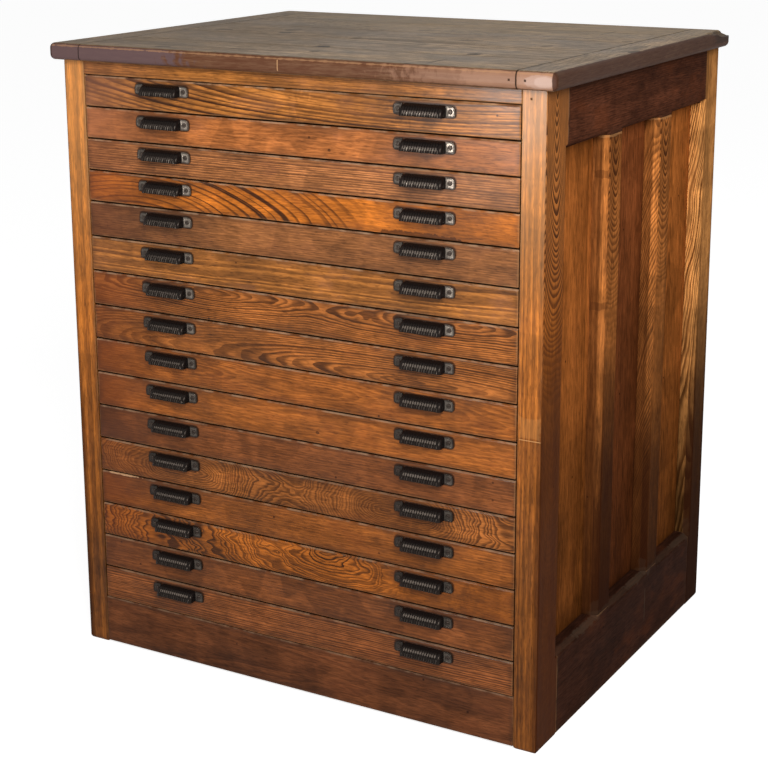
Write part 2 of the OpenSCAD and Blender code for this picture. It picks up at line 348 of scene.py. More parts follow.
class Graph:
    """A node tree that is built with short calls."""

    def __init__(self, tree: bpy.types.NodeTree) -> None:
        """Takes up an empty node tree."""
        self.tree = tree
        self.given: dict[str, Socket] = {}
        self.results: bpy.types.NodeInputs | None = None

    @classmethod
    def effect(cls, name: str, inputs: dict[str, object], outputs: tuple[str, ...]) -> "Graph":
        """Starts a node group.

        Args:
            name: Name of the group.
            inputs: Names of its inputs with their first values.
            outputs: Names of its outputs; those that end in Colour are colours.

        Returns:
            The graph of the group.
        """
        tree = bpy.data.node_groups.new(name, "ShaderNodeTree")
        for label, value in inputs.items():
            kind = "Float" if isinstance(value, float) else "Vector" if len(value) == 3 else "Color"
            made = tree.interface.new_socket(name=label, in_out="INPUT", socket_type="NodeSocket" + kind)
            made.default_value = value
        for label in outputs:
            kind = "Color" if label.endswith("Colour") else "Float"
            tree.interface.new_socket(name=label, in_out="OUTPUT", socket_type="NodeSocket" + kind)
        graph = cls(tree)
        graph.given = graph.node("NodeGroupInput").outputs
        graph.results = graph.node("NodeGroupOutput").inputs
        return graph

    @classmethod
    def blank(cls, owner: bpy.types.Material | bpy.types.World) -> "Graph":
        """Clears the nodes of a material or a world and takes up its tree."""
        owner.use_nodes = True
        owner.node_tree.nodes.clear()
        return cls(owner.node_tree)

    def feed(self, socket: Socket, value: object) -> None:
        """Joins a value's socket to an input, or sets the input to a plain value."""
        if isinstance(value, Socket):
            self.tree.links.new(value, socket)
        else:
            socket.default_value = value

    def give(self, label: str, value: object) -> None:
        """Puts a value out of a node group."""
        self.feed(self.results[label], value)

    def node(
        self, kind: str, inputs: dict[str | int, object] | None = None, **settings: object
    ) -> bpy.types.Node:
        """Adds a node.

        Args:
            kind: Type of the node.
            inputs: Values or sockets for its inputs.
            settings: Values of its properties.

        Returns:
            The new node.
        """
        made = self.tree.nodes.new(kind)
        for name, value in settings.items():
            setattr(made, name, value)
        for name, value in (inputs or {}).items():
            self.feed(made.inputs[name], value)
        return made

    def place(self, group: bpy.types.NodeTree, inputs: dict[str, object]) -> bpy.types.NodeOutputs:
        """Places a node group and returns its outputs."""
        return self.node("ShaderNodeGroup", inputs, node_tree=group).outputs

    def math(self, operation: str, *values: object, clamp: bool = False) -> Socket:
        """Works out one number from others."""
        inputs = dict(enumerate(values))
        return self.node("ShaderNodeMath", inputs, operation=operation, use_clamp=clamp).outputs[0]

    def times(self, first: object, second: object) -> Socket:
        """Multiplies two numbers."""
        return self.math("MULTIPLY", first, second)

    def plus(self, first: object, second: object, clamp: bool = False) -> Socket:
        """Adds two numbers."""
        return self.math("ADD", first, second, clamp=clamp)

    def less(self, first: object, second: object) -> Socket:
        """Takes the second number from the first."""
        return self.math("SUBTRACT", first, second)

    def vector(self, operation: str, *values: object) -> Socket:
        """Works out one vector from others."""
        inputs = dict(enumerate(values))
        return self.node("ShaderNodeVectorMath", inputs, operation=operation).outputs["Vector"]

    def shade(self, colour: object, amount: object) -> Socket:
        """Makes a colour darker or lighter by a number."""
        inputs = {0: colour, "Scale": amount}
        return self.node("ShaderNodeVectorMath", inputs, operation="SCALE").outputs["Vector"]

    def split(self, vector: object) -> bpy.types.NodeOutputs:
        """Splits a vector into its three parts."""
        return self.node("ShaderNodeSeparateXYZ", {"Vector": vector}).outputs

    def ramp(
        self, value: object, start: object, end: object, low: object = 0.0, high: object = 1.0
    ) -> Socket:
        """Goes smoothly from low to high as a value goes from start to end."""
        limits = {"Value": value, "From Min": start, "From Max": end, "To Min": low, "To Max": high}
        return self.node("ShaderNodeMapRange", limits, interpolation_type="SMOOTHSTEP").outputs[0]

    def mix(self, share: object, first: object, second: object) -> Socket:
        """Mixes two colours."""
        inputs = {0: share, 6: first, 7: second}
        return self.node("ShaderNodeMix", inputs, data_type="RGBA").outputs[2]

    def noise(self, vector: object, stretch: Triple, seed: object, detail: float = 2.0) -> Socket:
        """Makes noise that is stretched along the parts of a vector.

        Args:
            vector: Point in metres.
            stretch: Waves in a metre along each part of the vector.
            seed: Number that picks another pattern.
            detail: Number of finer layers.

        Returns:
            The noise, round 0.5.
        """
        point = self.vector("MULTIPLY", vector, stretch)
        inputs = {"Vector": point, "W": seed, "Scale": 1.0, "Detail": detail, "Roughness": 0.55}
        return self.node("ShaderNodeTexNoise", inputs, noise_dimensions="4D").outputs[0]


ORIGIN = (0.0, 0.0, 0.0)
WHITE: Colour = (1.0, 1.0, 1.0, 1.0)
DIRT_AND_SHADOW = paint(34, 21, 14)
LEDGE_DUST_AND_HIGHLIGHT = paint(186, 160, 134)
PAINTED_TOP_LIGHT = paint(222, 178, 120)
NEAR_BLACK = paint(34, 13, 6)
RING_MASKS = ("Late", "Fibre", "Flecks", "Patches", "Streaks", "Mottle", "Zones")
WEAR_MASKS = ("Arris", "Rim", "Ledge", "Gap")


@cache
def growth_rings() -> bpy.types.NodeTree:
    """Builds the effect that finds the growth rings and fibres at a point in a board.

    Returns:
        The node group. Its vector runs along the grain, into the board and across it.
    """
    inputs = {
        "Vector": ORIGIN, "Seed": 0.0, "Spacing": 0.004, "Depth": 0.08, "Across": 0.0,
        "Tilt": 0.02, "Wave": 0.006, "Pace": 3.0, "Bend": 0.0, "Bend At": 0.0, "Bend Length": 0.5,
        "Ripple": 0.0016, "Line": 0.35, "Fade At": 9.0, "Fade Span": 0.06,
    }
    graph = Graph.effect("Growth rings", inputs, RING_MASKS)
    given, math_of = graph.given, graph.math
    times, plus, less = graph.times, graph.plus, graph.less
    vector, seed = given["Vector"], given["Seed"]
    along, deep, across = graph.split(vector)
    pace = given["Pace"]
    paced = graph.node("ShaderNodeCombineXYZ", {"X": pace, "Y": 12.0, "Z": 12.0}).outputs[0]
    swell = graph.noise(graph.vector("MULTIPLY", vector, paced), (1.0, 1.0, 1.0), seed, 1.0)
    swell = times(less(swell, 0.5), times(given["Wave"], 2.0))
    ripple = graph.noise(vector, (22.0, 52.0, 52.0), plus(seed, 5.0), 1.0)
    ripple = times(less(ripple, 0.5), given["Ripple"])
    behind = plus(plus(deep, given["Depth"]), times(given["Tilt"], along))
    behind = plus(plus(behind, swell), ripple)
    turn = math_of("DIVIDE", less(along, given["Bend At"]), given["Bend Length"])
    bend = math_of("COSINE", times(turn, 2 * math.pi))
    behind = math_of("MULTIPLY_ADD", bend, given["Bend"], behind)
    beside = less(across, given["Across"])
    radius = math_of("SQRT", plus(math_of("POWER", behind, 2.0), times(beside, beside)))
    uneven = graph.node(
        "ShaderNodeTexNoise", {"W": plus(times(radius, 60.0), seed), "Scale": 1.0},
        noise_dimensions="1D",
    ).outputs[0]
    count = plus(math_of("DIVIDE", radius, given["Spacing"]), times(uneven, 2.4))
    part = math_of("FRACT", count)
    ring = plus(math_of("FLOOR", count), seed)
    strength = graph.node("ShaderNodeTexWhiteNoise", {"W": ring}, noise_dimensions="1D").outputs[0]
    rise = less(1.0, times(given["Line"], 1.9))
    full = less(1.0, times(given["Line"], 0.7))
    late = times(graph.ramp(part, rise, full), graph.ramp(part, 1.0, 0.95))
    late = times(late, math_of("MULTIPLY_ADD", strength, 0.35, 0.65))
    bold = graph.noise(vector, (2.4, 10.0, 10.0), plus(seed, 7.0), 1.0)
    late = times(late, graph.ramp(bold, 0.36, 0.58, 0.72, 1.0))
    plain_from = plus(given["Fade At"], given["Fade Span"])
    plain_to = less(given["Fade At"], given["Fade Span"])
    late = times(late, graph.ramp(along, plain_from, plain_to, 0.12, 1.0))
    graph.give("Late", late)
    graph.give("Fibre", graph.noise(vector, (42.0, 430.0, 430.0), seed, 2.0))
    flecks = graph.noise(vector, (70.0, 420.0, 420.0), plus(seed, 2.0), 1.0)
    flecks = times(graph.ramp(flecks, 0.56, 0.68), 0.35)
    flat = graph.node(
        "ShaderNodeCombineXYZ", {"X": plus(along, seed), "Y": plus(across, deep)}
    ).outputs[0]
    spots = {"Vector": flat, "Scale": 24.0}
    cells = graph.node("ShaderNodeTexVoronoi", spots, voronoi_dimensions="2D").outputs
    chosen = graph.ramp(graph.split(cells["Color"])[0], 0.92, 1.0)
    specks = times(chosen, graph.ramp(cells["Distance"], 0.07, 0.02))
    graph.give("Flecks", math_of("MAXIMUM", flecks, specks))
    graph.give("Patches", graph.noise(vector, (5.0, 13.0, 13.0), plus(seed, 9.0), 3.0))
    graph.give("Streaks", graph.noise(vector, (1.6, 75.0, 75.0), plus(seed, 4.0), 2.0))
    zones = graph.noise(vector, (7.0, 1.0, 4.0), plus(seed, 8.0), 2.0)
    graph.give("Zones", graph.ramp(zones, 0.485, 0.51))
    graph.give("Mottle", graph.noise(vector, (12.0, 26.0, 26.0), plus(seed, 6.0), 5.0))
    return graph.tree


@cache
def arris_wear() -> bpy.types.NodeTree:
    """Builds the effect that finds the worn arrises of a board and the rims beside them.

    Returns:
        The node group. It measures from the board's own box.
    """
    inputs = {"Vector": ORIGIN, "Centre": ORIGIN, "Half": (1.0, 1.0, 1.0), "Seed": 0.0, "Width": 0.002}
    graph = Graph.effect("Arris wear", inputs, WEAR_MASKS)
    given = graph.given
    reach = graph.vector("ABSOLUTE", graph.vector("SUBTRACT", given["Vector"], given["Centre"]))
    left, front, low = graph.split(graph.vector("SUBTRACT", given["Half"], reach))
    total = graph.plus(graph.plus(left, front), low)
    least = graph.math("MINIMUM", graph.math("MINIMUM", left, front), low)
    most = graph.math("MAXIMUM", graph.math("MAXIMUM", left, front), low)
    inset = graph.less(graph.less(total, least), most)
    rough = graph.noise(given["Vector"], (45.0, 45.0, 45.0), given["Seed"], 4.0)
    uneven = graph.times(given["Width"], graph.ramp(rough, 0.3, 0.75, 0.3, 2.6))
    graph.give("Arris", graph.ramp(inset, uneven, 0.0))
    wide = graph.noise(given["Vector"], (14.0, 14.0, 14.0), given["Seed"], 3.0)
    graph.give("Rim", graph.ramp(inset, graph.ramp(wide, 0.3, 0.7, 0.004, 0.022), 0.0))
    low_corner = graph.vector("SUBTRACT", given["Centre"], given["Half"])
    _, behind, _ = graph.split(graph.vector("SUBTRACT", given["Vector"], low_corner))
    high_corner = graph.vector("ADD", given["Centre"], given["Half"])
    _, _, below = graph.split(graph.vector("SUBTRACT", high_corner, given["Vector"]))
    ledge = graph.times(graph.ramp(below, 0.0034, 0.0018), graph.ramp(rough, 0.34, 0.66))
    graph.give("Ledge", ledge)
    graph.give("Gap", graph.times(graph.ramp(behind, 0.0012, 0.0035), graph.ramp(behind, 0.017, 0.012)))
    return graph.tree


@cache
def hand_grime_and_shade() -> bpy.types.NodeTree:
    """Builds the effect that finds the hand grime and painted shade round a pair of pulls, and the dirt and
    painted contact shadow at their rims.

    Returns:
        The node group.
    """
    inputs = {"Vector": ORIGIN, "Spread": 0.25, "Height": 0.5, "Reach": 0.054, "Rise": 0.009, "Seed": 0.0}
    graph = Graph.effect("Hand grime", inputs, ("Smudge", "Dirt"))
    given, math_of = graph.given, graph.math
    times, plus, less = graph.times, graph.plus, graph.less
    across, _, up = graph.split(given["Vector"])
    beside = math_of("ABSOLUTE", less(math_of("ABSOLUTE", across), given["Spread"]))
    above = less(up, given["Height"])
    smudge_w, smudge_h, corner = 0.078, 0.024, 0.006
    far = math_of("POWER", math_of("DIVIDE", beside, smudge_w), 2.0)
    away = math_of("SQRT", plus(far, math_of("POWER", math_of("DIVIDE", above, smudge_h), 2.0)))
    rough = graph.noise(given["Vector"], (30.0, 30.0, 60.0), given["Seed"], 4.0)
    away = plus(away, times(less(rough, 0.5), 2.2))
    graph.give("Smudge", graph.ramp(away, 1.5, 0.6))
    past = math_of("MAXIMUM", plus(less(beside, given["Reach"]), corner), 0.0)
    over = less(math_of("ABSOLUTE", above), given["Rise"])
    over = math_of("MAXIMUM", plus(over, corner), 0.0)
    outside = math_of("SQRT", plus(math_of("POWER", past, 2.0), math_of("POWER", over, 2.0)))
    outside = less(outside, corner)
    graph.give("Dirt", graph.ramp(outside, graph.ramp(rough, 0.35, 0.65, 0.0022, 0.004), 0.001))
    return graph.tree


@cache
def scuff_mark() -> bpy.types.NodeTree:
    """Builds the effect that finds one scuff, from its middle and its half sizes.

    Returns:
        The node group.
    """
    inputs = {"Vector": ORIGIN, "Centre": ORIGIN, "Half": (0.01, 0.01, 0.01), "Rough": 0.5, "Round": 0.0}
    graph = Graph.effect("Scuff mark", inputs, ("Scuff",))
    given = graph.given
    offset = graph.vector("DIVIDE", graph.vector("SUBTRACT", given["Vector"], given["Centre"]), given["Half"])
    left, front, low = graph.split(graph.vector("ABSOLUTE", offset))
    away = graph.math("MAXIMUM", graph.math("MAXIMUM", left, front), low)
    length = graph.node("ShaderNodeVectorMath", {0: offset}, operation="LENGTH").outputs["Value"]
    away = graph.math("MULTIPLY_ADD", given["Round"], graph.less(length, away), away)
    rough = graph.noise(given["Vector"], (90.0, 90.0, 60.0), 3.0, 3.0)
    away = graph.plus(away, graph.times(graph.less(rough, 0.5), given["Rough"]))
    graph.give("Scuff", graph.ramp(away, 1.0, 0.8))
    return graph.tree


@cache
def aged_wood() -> bpy.types.NodeTree:
    """Builds the effect that colours varnished wood from its rings, its wear and painted light and shade.

    Returns:
        The node group.
    """
    inputs = dict.fromkeys(RING_MASKS + WEAR_MASKS, 0.0) | {
        "Point": ORIGIN, "Early Colour": WHITE, "Late Colour": WHITE, "Stain Colour": WHITE,
        "Grime Colour": WHITE, "Worn Colour": WHITE, "Contrast": 0.8, "Fibre Depth": 1.0,
        "Streak Depth": 0.5, "Patch Depth": 0.4, "Zone Depth": 0.1, "Left Stain": 0.0, "Rim Grime": 0.4,
        "Arris Wear": 0.4, "Ledge Dust": 0.0, "Gap Grime": 0.0, "Foot Shade": 0.2, "Foot Height": 0.95,
        "Top Glow": 0.0, "Sheen": 0.4,
    }
    graph = Graph.effect("Aged wood", inputs, ("Base Colour", "Roughness", "Relief"))
    given, math_of = graph.given, graph.math
    times, plus, less = graph.times, graph.plus, graph.less
    colour = graph.mix(times(given["Late"], given["Contrast"]), given["Early Colour"], given["Late Colour"])
    thin = math_of("MULTIPLY_ADD", given["Fibre Depth"], -0.3, 1.0)
    thick = math_of("MULTIPLY_ADD", given["Fibre Depth"], 0.26, 1.0)
    colour = graph.shade(colour, graph.ramp(given["Fibre"], 0.3, 0.7, thin, thick))
    dull = less(1.0, times(given["Streak Depth"], 0.3))
    lively = plus(1.0, times(given["Streak Depth"], 0.24))
    colour = graph.shade(colour, graph.ramp(given["Streaks"], 0.3, 0.7, dull, lively))
    colour = graph.mix(given["Flecks"], colour, graph.shade(given["Late Colour"], 0.6))
    bright = math_of("MULTIPLY_ADD", given["Zone Depth"], 0.6, 1.0)
    dim = less(1.0, given["Zone Depth"])
    colour = graph.shade(colour, graph.ramp(given["Zones"], 0.0, 1.0, bright, dim))
    dark = less(1.0, times(given["Patch Depth"], 0.6))
    light = plus(1.0, times(given["Patch Depth"], 0.3))
    colour = graph.shade(colour, graph.ramp(given["Patches"], 0.34, 0.66, dark, light))
    side, _, height = graph.split(given["Point"])
    # Stain and painted shade darken the left end.
    left = times(graph.ramp(side, -0.2, -0.42), given["Left Stain"])
    stain = times(graph.ramp(given["Mottle"], 0.52, 0.68), 0.28)
    colour = graph.mix(math_of("MAXIMUM", stain, left), colour, given["Stain Colour"])
    colour = graph.shade(colour, graph.ramp(given["Mottle"], 0.36, 0.62, 0.84, 1.11))
    colour = graph.mix(times(given["Rim"], given["Rim Grime"]), colour, given["Grime Colour"])
    # Dust and a painted highlight pale the ledge along the top arris.
    colour = graph.mix(times(given["Ledge"], given["Ledge Dust"]), colour, LEDGE_DUST_AND_HIGHLIGHT)
    colour = graph.mix(times(given["Arris"], given["Arris Wear"]), colour, given["Worn Colour"])
    # Painted shade: the faces in the gaps between boards are dark.
    colour = graph.mix(
        times(given["Gap"], given["Gap Grime"]), colour, graph.shade(given["Grime Colour"], 0.25)
    )
    # Painted shade: darker towards the foot.
    foot = less(1.0, given["Foot Shade"])
    colour = graph.shade(colour, graph.ramp(height, 0.06, given["Foot Height"], foot, 1.0))
    # Painted light: paler towards the top.
    colour = graph.mix(graph.ramp(height, 0.6, 1.1, 0.0, given["Top Glow"]), colour, PAINTED_TOP_LIGHT)
    graph.give("Base Colour", colour)
    rough = plus(given["Sheen"], times(less(given["Patches"], 0.5), 0.3))
    rough = plus(rough, times(given["Arris"], 0.12))
    graph.give("Roughness", plus(rough, times(given["Flecks"], 0.1), clamp=True))
    relief = math_of("MULTIPLY_ADD", given["Late"], 0.5, times(given["Fibre"], 0.7))
    graph.give("Relief", less(relief, times(given["Flecks"], 0.5)))
    return graph.tree


class Lay(Enum):
    """How a board lies: rows give the way along its grain, into its face and across it."""

    ALONG_FRONT = ((1, 0, 0), (0, 1, 0), (0, 0, 1))
    UPRIGHT_RIGHT = ((0, 0, 1), (-1, 0, 0), (0, -1, 0))
    UPRIGHT_LEFT = ((0, 0, 1), (1, 0, 0), (0, 1, 0))
    ALONG_RIGHT = ((0, 1, 0), (-1, 0, 0), (0, 0, 1))
    ALONG_LEFT = ((0, 1, 0), (1, 0, 0), (0, 0, -1))
    ALONG_TOP = ((1, 0, 0), (0, 0, -1), (0, 1, 0))
    ACROSS_TOP = ((0, 1, 0), (0, 0, -1), (-1, 0, 0))
    UPRIGHT_BACK = ((0, 0, 1), (0, -1, 0), (1, 0, 0))
    ALONG_DRAWER = ((0, 1, 0), (0, 0, -1), (-1, 0, 0))


@dataclass(frozen=True)
class Figure:
    """Growth rings of one board.

    Attributes:
        spacing: Distance between rings.
        depth: How far the pith lies behind the middle of the board.
        across: How far it lies to one side.
        tilt: Slope of the pith along the board.
        wave: How much the rings swell along the board.
        pace: Swells in a metre.
        bend: How far the pith swings to and fro along the board.
        bend_at: Place along the board where it lies deepest.
        bend_length: Length of one swing.
        ripple: How much the rings waver.
        contrast: Strength of the dark lines.
        seed: Number that makes the board its own.
        line: Share of a ring that is dark.
        fade_at: Place along the board where the lines fade.
        fade_span: How slowly they fade; below 0 they fade the other way.
    """

    spacing: float = 0.004
    depth: float = 0.08
    across: float = 0.0
    tilt: float = 0.02
    wave: float = 0.006
    pace: float = 3.0
    contrast: float = 0.8
    seed: float = 0.0
    line: float = 0.35
    fade_at: float = 9.0
    fade_span: float = 0.06
    bend: float = 0.0
    bend_at: float = 0.0
    bend_length: float = 0.5
    ripple: float = 0.0016

    def place(self, graph: Graph, grain_point: Socket) -> bpy.types.NodeOutputs:
        """Places the rings in a material.

        Args:
            graph: Graph of the material.
            grain_point: Point along the grain, into the board and across it.

        Returns:
            The outputs of the growth rings.
        """
        inputs = {name.replace("_", " ").title(): value for name, value in vars(self).items()}
        del inputs["Contrast"]
        return graph.place(growth_rings(), inputs | {"Vector": grain_point})


@dataclass(frozen=True)
class FaceRings:
    """Other growth rings on the outer face of an upright.

    Attributes:
        figure: The rings.
        outer: How far the face lies from the cabinet's middle.
        through: How much they show through the marks on the face.
    """

    figure: Figure
    outer: float
    through: float = 0.0


@dataclass(frozen=True)
class Scuff:
    """A mark on a board.

    Attributes:
        centre: Its middle.
        half: Its half sizes.
        colour: Its colour.
        strength: How strong it is.
        rough: How uneven its edge is.
        varnished: If varnish covers it.
        rounded: 1 if it is round and 0 if it is square.
    """

    centre: Triple
    half: Triple
    colour: Colour
    strength: float = 0.7
    rough: float = 0.6
    varnished: bool = False
    rounded: float = 0.0

    def place(self, graph: Graph, point: Socket) -> Socket:
        """Places the mark in a material and returns where it lies."""
        return graph.place(scuff_mark(), {
            "Vector": point, "Centre": self.centre, "Half": self.half, "Rough": self.rough,
            "Round": self.rounded,
        })["Scuff"]


@dataclass(frozen=True)
class WoodFinish:
    """Colours, gloss and wear of wood of one tone."""

    name: str
    early: Colour
    late: Colour
    stain: Colour = paint(112, 56, 26)
    grime: Colour = paint(58, 38, 28)
    worn: Colour = paint(186, 140, 98)
    sheen: float = 0.55
    gloss: float = 0.02
    varnish: float = 0.0
    varnish_sheen: float = 0.28
    fibre: float = 1.0
    streaks: float = 0.5
    patches: float = 0.4
    left_stain: float = 0.0
    rim_grime: float = 0.4
    wear: float = 0.4
    wear_width: float = 0.002
    ledge: float = 0.0
    gap_grime: float = 0.0
    zones: float = 0.1
    foot_shade: float = 0.15
    foot_height: float = 0.95
    top_glow: float = 0.0
    relief: float = 0.25

    def age(self, graph: Graph, masks: dict[str, Socket], contrast: float) -> bpy.types.NodeOutputs:
        """Places the aged wood in a material.

        Args:
            graph: Graph of the material.
            masks: The point, and the masks of its rings and its wear.
            contrast: Strength of the dark lines.

        Returns:
            The outputs of the aged wood.
        """
        return graph.place(aged_wood(), masks | {
            "Early Colour": self.early, "Late Colour": self.late, "Stain Colour": self.stain,
            "Grime Colour": self.grime, "Worn Colour": self.worn, "Contrast": contrast,
            "Fibre Depth": self.fibre, "Streak Depth": self.streaks, "Patch Depth": self.patches,
            "Zone Depth": self.zones, "Left Stain": self.left_stain, "Rim Grime": self.rim_grime,
            "Arris Wear": self.wear, "Ledge Dust": self.ledge, "Gap Grime": self.gap_grime,
            "Foot Shade": self.foot_shade, "Foot Height": self.foot_height, "Top Glow": self.top_glow,
            "Sheen": self.sheen,
        })

    def soil(
        self, graph: Graph, point: Socket, colour: Socket, pulls: tuple[float, float], seed: float
    ) -> Socket:
        """Darkens a colour with hand grime and painted shade round the pulls, and with dirt and a painted
        contact shadow round their ears.

        Args:
            graph: Graph of the material.
            point: Point on the board.
            colour: Colour there.
            pulls: Distance from the middle and height of the pulls.
            seed: Number that makes the board its own.

        Returns:
            The darker colour.
        """
        spread, height = pulls
        inputs = {"Vector": point, "Spread": spread, "Height": height, "Seed": seed}
        hands = graph.place(hand_grime_and_shade(), inputs)
        # Hand grime and painted shade round the pulls.
        colour = graph.mix(graph.times(hands["Smudge"], 0.3), colour, self.grime)
        # Dirt and a painted contact shadow round the ears.
        return graph.mix(graph.times(hands["Dirt"], 0.8), colour, DIRT_AND_SHADOW)

    def dress(
        self,
        name: str,
        low: Vector,
        high: Vector,
        lay: Lay,
        figure: Figure,
        scuffs: tuple[Scuff, ...] = (),
        pulls: tuple[float, float] | None = None,
        face: FaceRings | None = None,
    ) -> bpy.types.Material:
        """Makes the material of one board.

        Args:
            name: Name of the board.
            low: Lowest corner of the board.
            high: Highest corner of the board.
            lay: How the board lies.
            figure: Its growth rings.
            scuffs: Marks on it.
            pulls: Distance from the middle and height of the pulls, round which hand grime and painted shade
                darken it.
            face: Other growth rings on its outer face.

        Returns:
            The material.
        """
        material = bpy.data.materials.new(f"{self.name}.{name}")
        graph = Graph.blank(material)
        point = graph.node("ShaderNodeTexCoord").outputs["Object"]
        turn = Matrix(lay.value)
        centre = (low + high) / 2
        grain_point = graph.node(
            "ShaderNodeMapping",
            {"Vector": point, "Location": -(turn @ centre), "Rotation": turn.to_euler()},
        ).outputs[0]
        rings = figure.place(graph, grain_point)
        late = rings["Late"]
        if face:
            other = face.figure.place(graph, grain_point)["Late"]
            other = graph.times(other, face.figure.contrast / figure.contrast)
            far = graph.math("ABSOLUTE", graph.split(point)[0])
            on_face = graph.ramp(far, face.outer - 0.003, face.outer - 0.001)
            late = graph.math("MULTIPLY_ADD", on_face, graph.less(other, late), late)
        worn = graph.place(arris_wear(), {
            "Vector": point, "Centre": centre, "Half": (high - low) / 2, "Seed": figure.seed,
            "Width": self.wear_width,
        })
        masks = {label: rings[label] for label in RING_MASKS} | {label: worn[label] for label in WEAR_MASKS}
        wood = self.age(graph, masks | {"Late": late, "Point": point}, figure.contrast)
        colour = wood["Base Colour"]
        coat = graph.times(graph.ramp(rings["Patches"], 0.3, 0.6, 1.0, 0.6), self.varnish)
        coat = graph.times(coat, graph.less(1.0, worn["Arris"]))
        if pulls:
            colour = self.soil(graph, point, colour, pulls, figure.seed)
        for mark in scuffs:
            found = mark.place(graph, point)
            share = graph.times(found, mark.strength)
            colour = graph.mix(share, colour, mark.colour)
            if not mark.varnished:
                coat = graph.times(coat, graph.less(1.0, found))
        if face:
            through = graph.times(graph.times(on_face, other), face.through)
            colour = graph.mix(through, colour, NEAR_BLACK)
        bump = graph.node(
            "ShaderNodeBump", {"Strength": self.relief, "Distance": 0.0008, "Height": wood["Relief"]}
        ).outputs[0]
        surface = graph.node("ShaderNodeBsdfPrincipled", {
            "Base Color": colour, "Roughness": wood["Roughness"], "Normal": bump,
            "Specular IOR Level": self.gloss, "Coat Weight": coat, "Coat Roughness": self.varnish_sheen,
        })
        graph.node("ShaderNodeOutputMaterial", {"Surface": surface.outputs[0]})
        return material


VARNISHED = WoodFinish(
    "varnished", paint(166, 95, 40), paint(84, 42, 18), stain=paint(104, 51, 25), gloss=0.01, varnish=0.2,
    varnish_sheen=0.2, streaks=0.4, patches=0.42, left_stain=0.45, wear=0.28, ledge=0.38, gap_grime=0.92,
    foot_shade=0.42,
)
TAN = replace(VARNISHED, name="tan")
GOLDEN = replace(
    VARNISHED, name="golden", early=paint(176, 110, 50), late=paint(50, 24, 12), stain=paint(122, 80, 62),
)
ROSE = replace(VARNISHED, name="rose", early=paint(172, 102, 52), stain=paint(150, 94, 66))
PLUM = replace(
    VARNISHED, name="plum", early=paint(152, 96, 54), late=paint(66, 38, 25), stain=paint(92, 52, 37),
)
AMBER = replace(
    VARNISHED, name="amber", early=paint(186, 104, 34), late=paint(46, 22, 10), stain=paint(112, 58, 34),
)
CINNAMON = replace(VARNISHED, name="cinnamon", early=paint(172, 96, 34), late=paint(46, 23, 10))
RUSSET = replace(VARNISHED, name="russet", early=paint(166, 98, 45), late=paint(50, 25, 12))
UMBER = replace(
    VARNISHED, name="umber", early=paint(138, 79, 40), late=paint(68, 36, 19), stain=paint(80, 43, 26),
)
HONEY = replace(
    VARNISHED, name="honey", early=paint(200, 118, 47), late=paint(104, 54, 22), patches=0.4, rim_grime=0.3,
    ledge=0.0, gap_grime=0.0, left_stain=0.0, foot_shade=0.66, top_glow=0.22, streaks=0.8,
)
CHESTNUT = WoodFinish(
    "chestnut", paint(174, 100, 44), paint(66, 33, 16), sheen=0.6, gloss=0.004, foot_shade=0.66, wear=0.25,
    patches=0.5, stain=paint(92, 46, 22),
)
DARK_CHESTNUT = replace(CHESTNUT, name="dark_chestnut", early=paint(126, 68, 34), late=paint(56, 28, 14))
MOULDED = replace(
    CHESTNUT, name="moulded", early=paint(206, 126, 62), late=paint(74, 38, 18), streaks=0.8,
    foot_shade=0.93, foot_height=0.85,
)
GILDED = replace(MOULDED, name="gilded", early=paint(244, 168, 94), late=paint(124, 72, 34))
WALNUT = replace(CHESTNUT, name="walnut", early=paint(82, 46, 30), late=paint(46, 25, 16))
SMOKED = replace(
    CHESTNUT, name="smoked", early=paint(60, 34, 23), late=paint(40, 23, 16), foot_shade=0.2, patches=0.25,
)
PLINTH_BROWN = replace(
    VARNISHED, name="plinth_brown", early=paint(100, 57, 32), late=paint(60, 33, 20), varnish=0.12,
    foot_shade=0.1, ledge=0.15, gap_grime=0.0, left_stain=0.0, stain=paint(74, 38, 22), wear=0.1,
)
WEATHERED = WoodFinish(
    "weathered", paint(146, 122, 94), paint(84, 67, 49), stain=paint(90, 74, 56), grime=paint(50, 39, 29),
    sheen=0.5, gloss=0.03, varnish=0.08, varnish_sheen=0.24, patches=0.45, rim_grime=0.15, wear=0.0,
    fibre=1.7,
)
BARE = WoodFinish(
    "bare", paint(196, 156, 108), paint(158, 112, 70), grime=paint(110, 84, 60), worn=paint(208, 174, 130),
    sheen=0.7, gloss=0.2, patches=0.35,
)


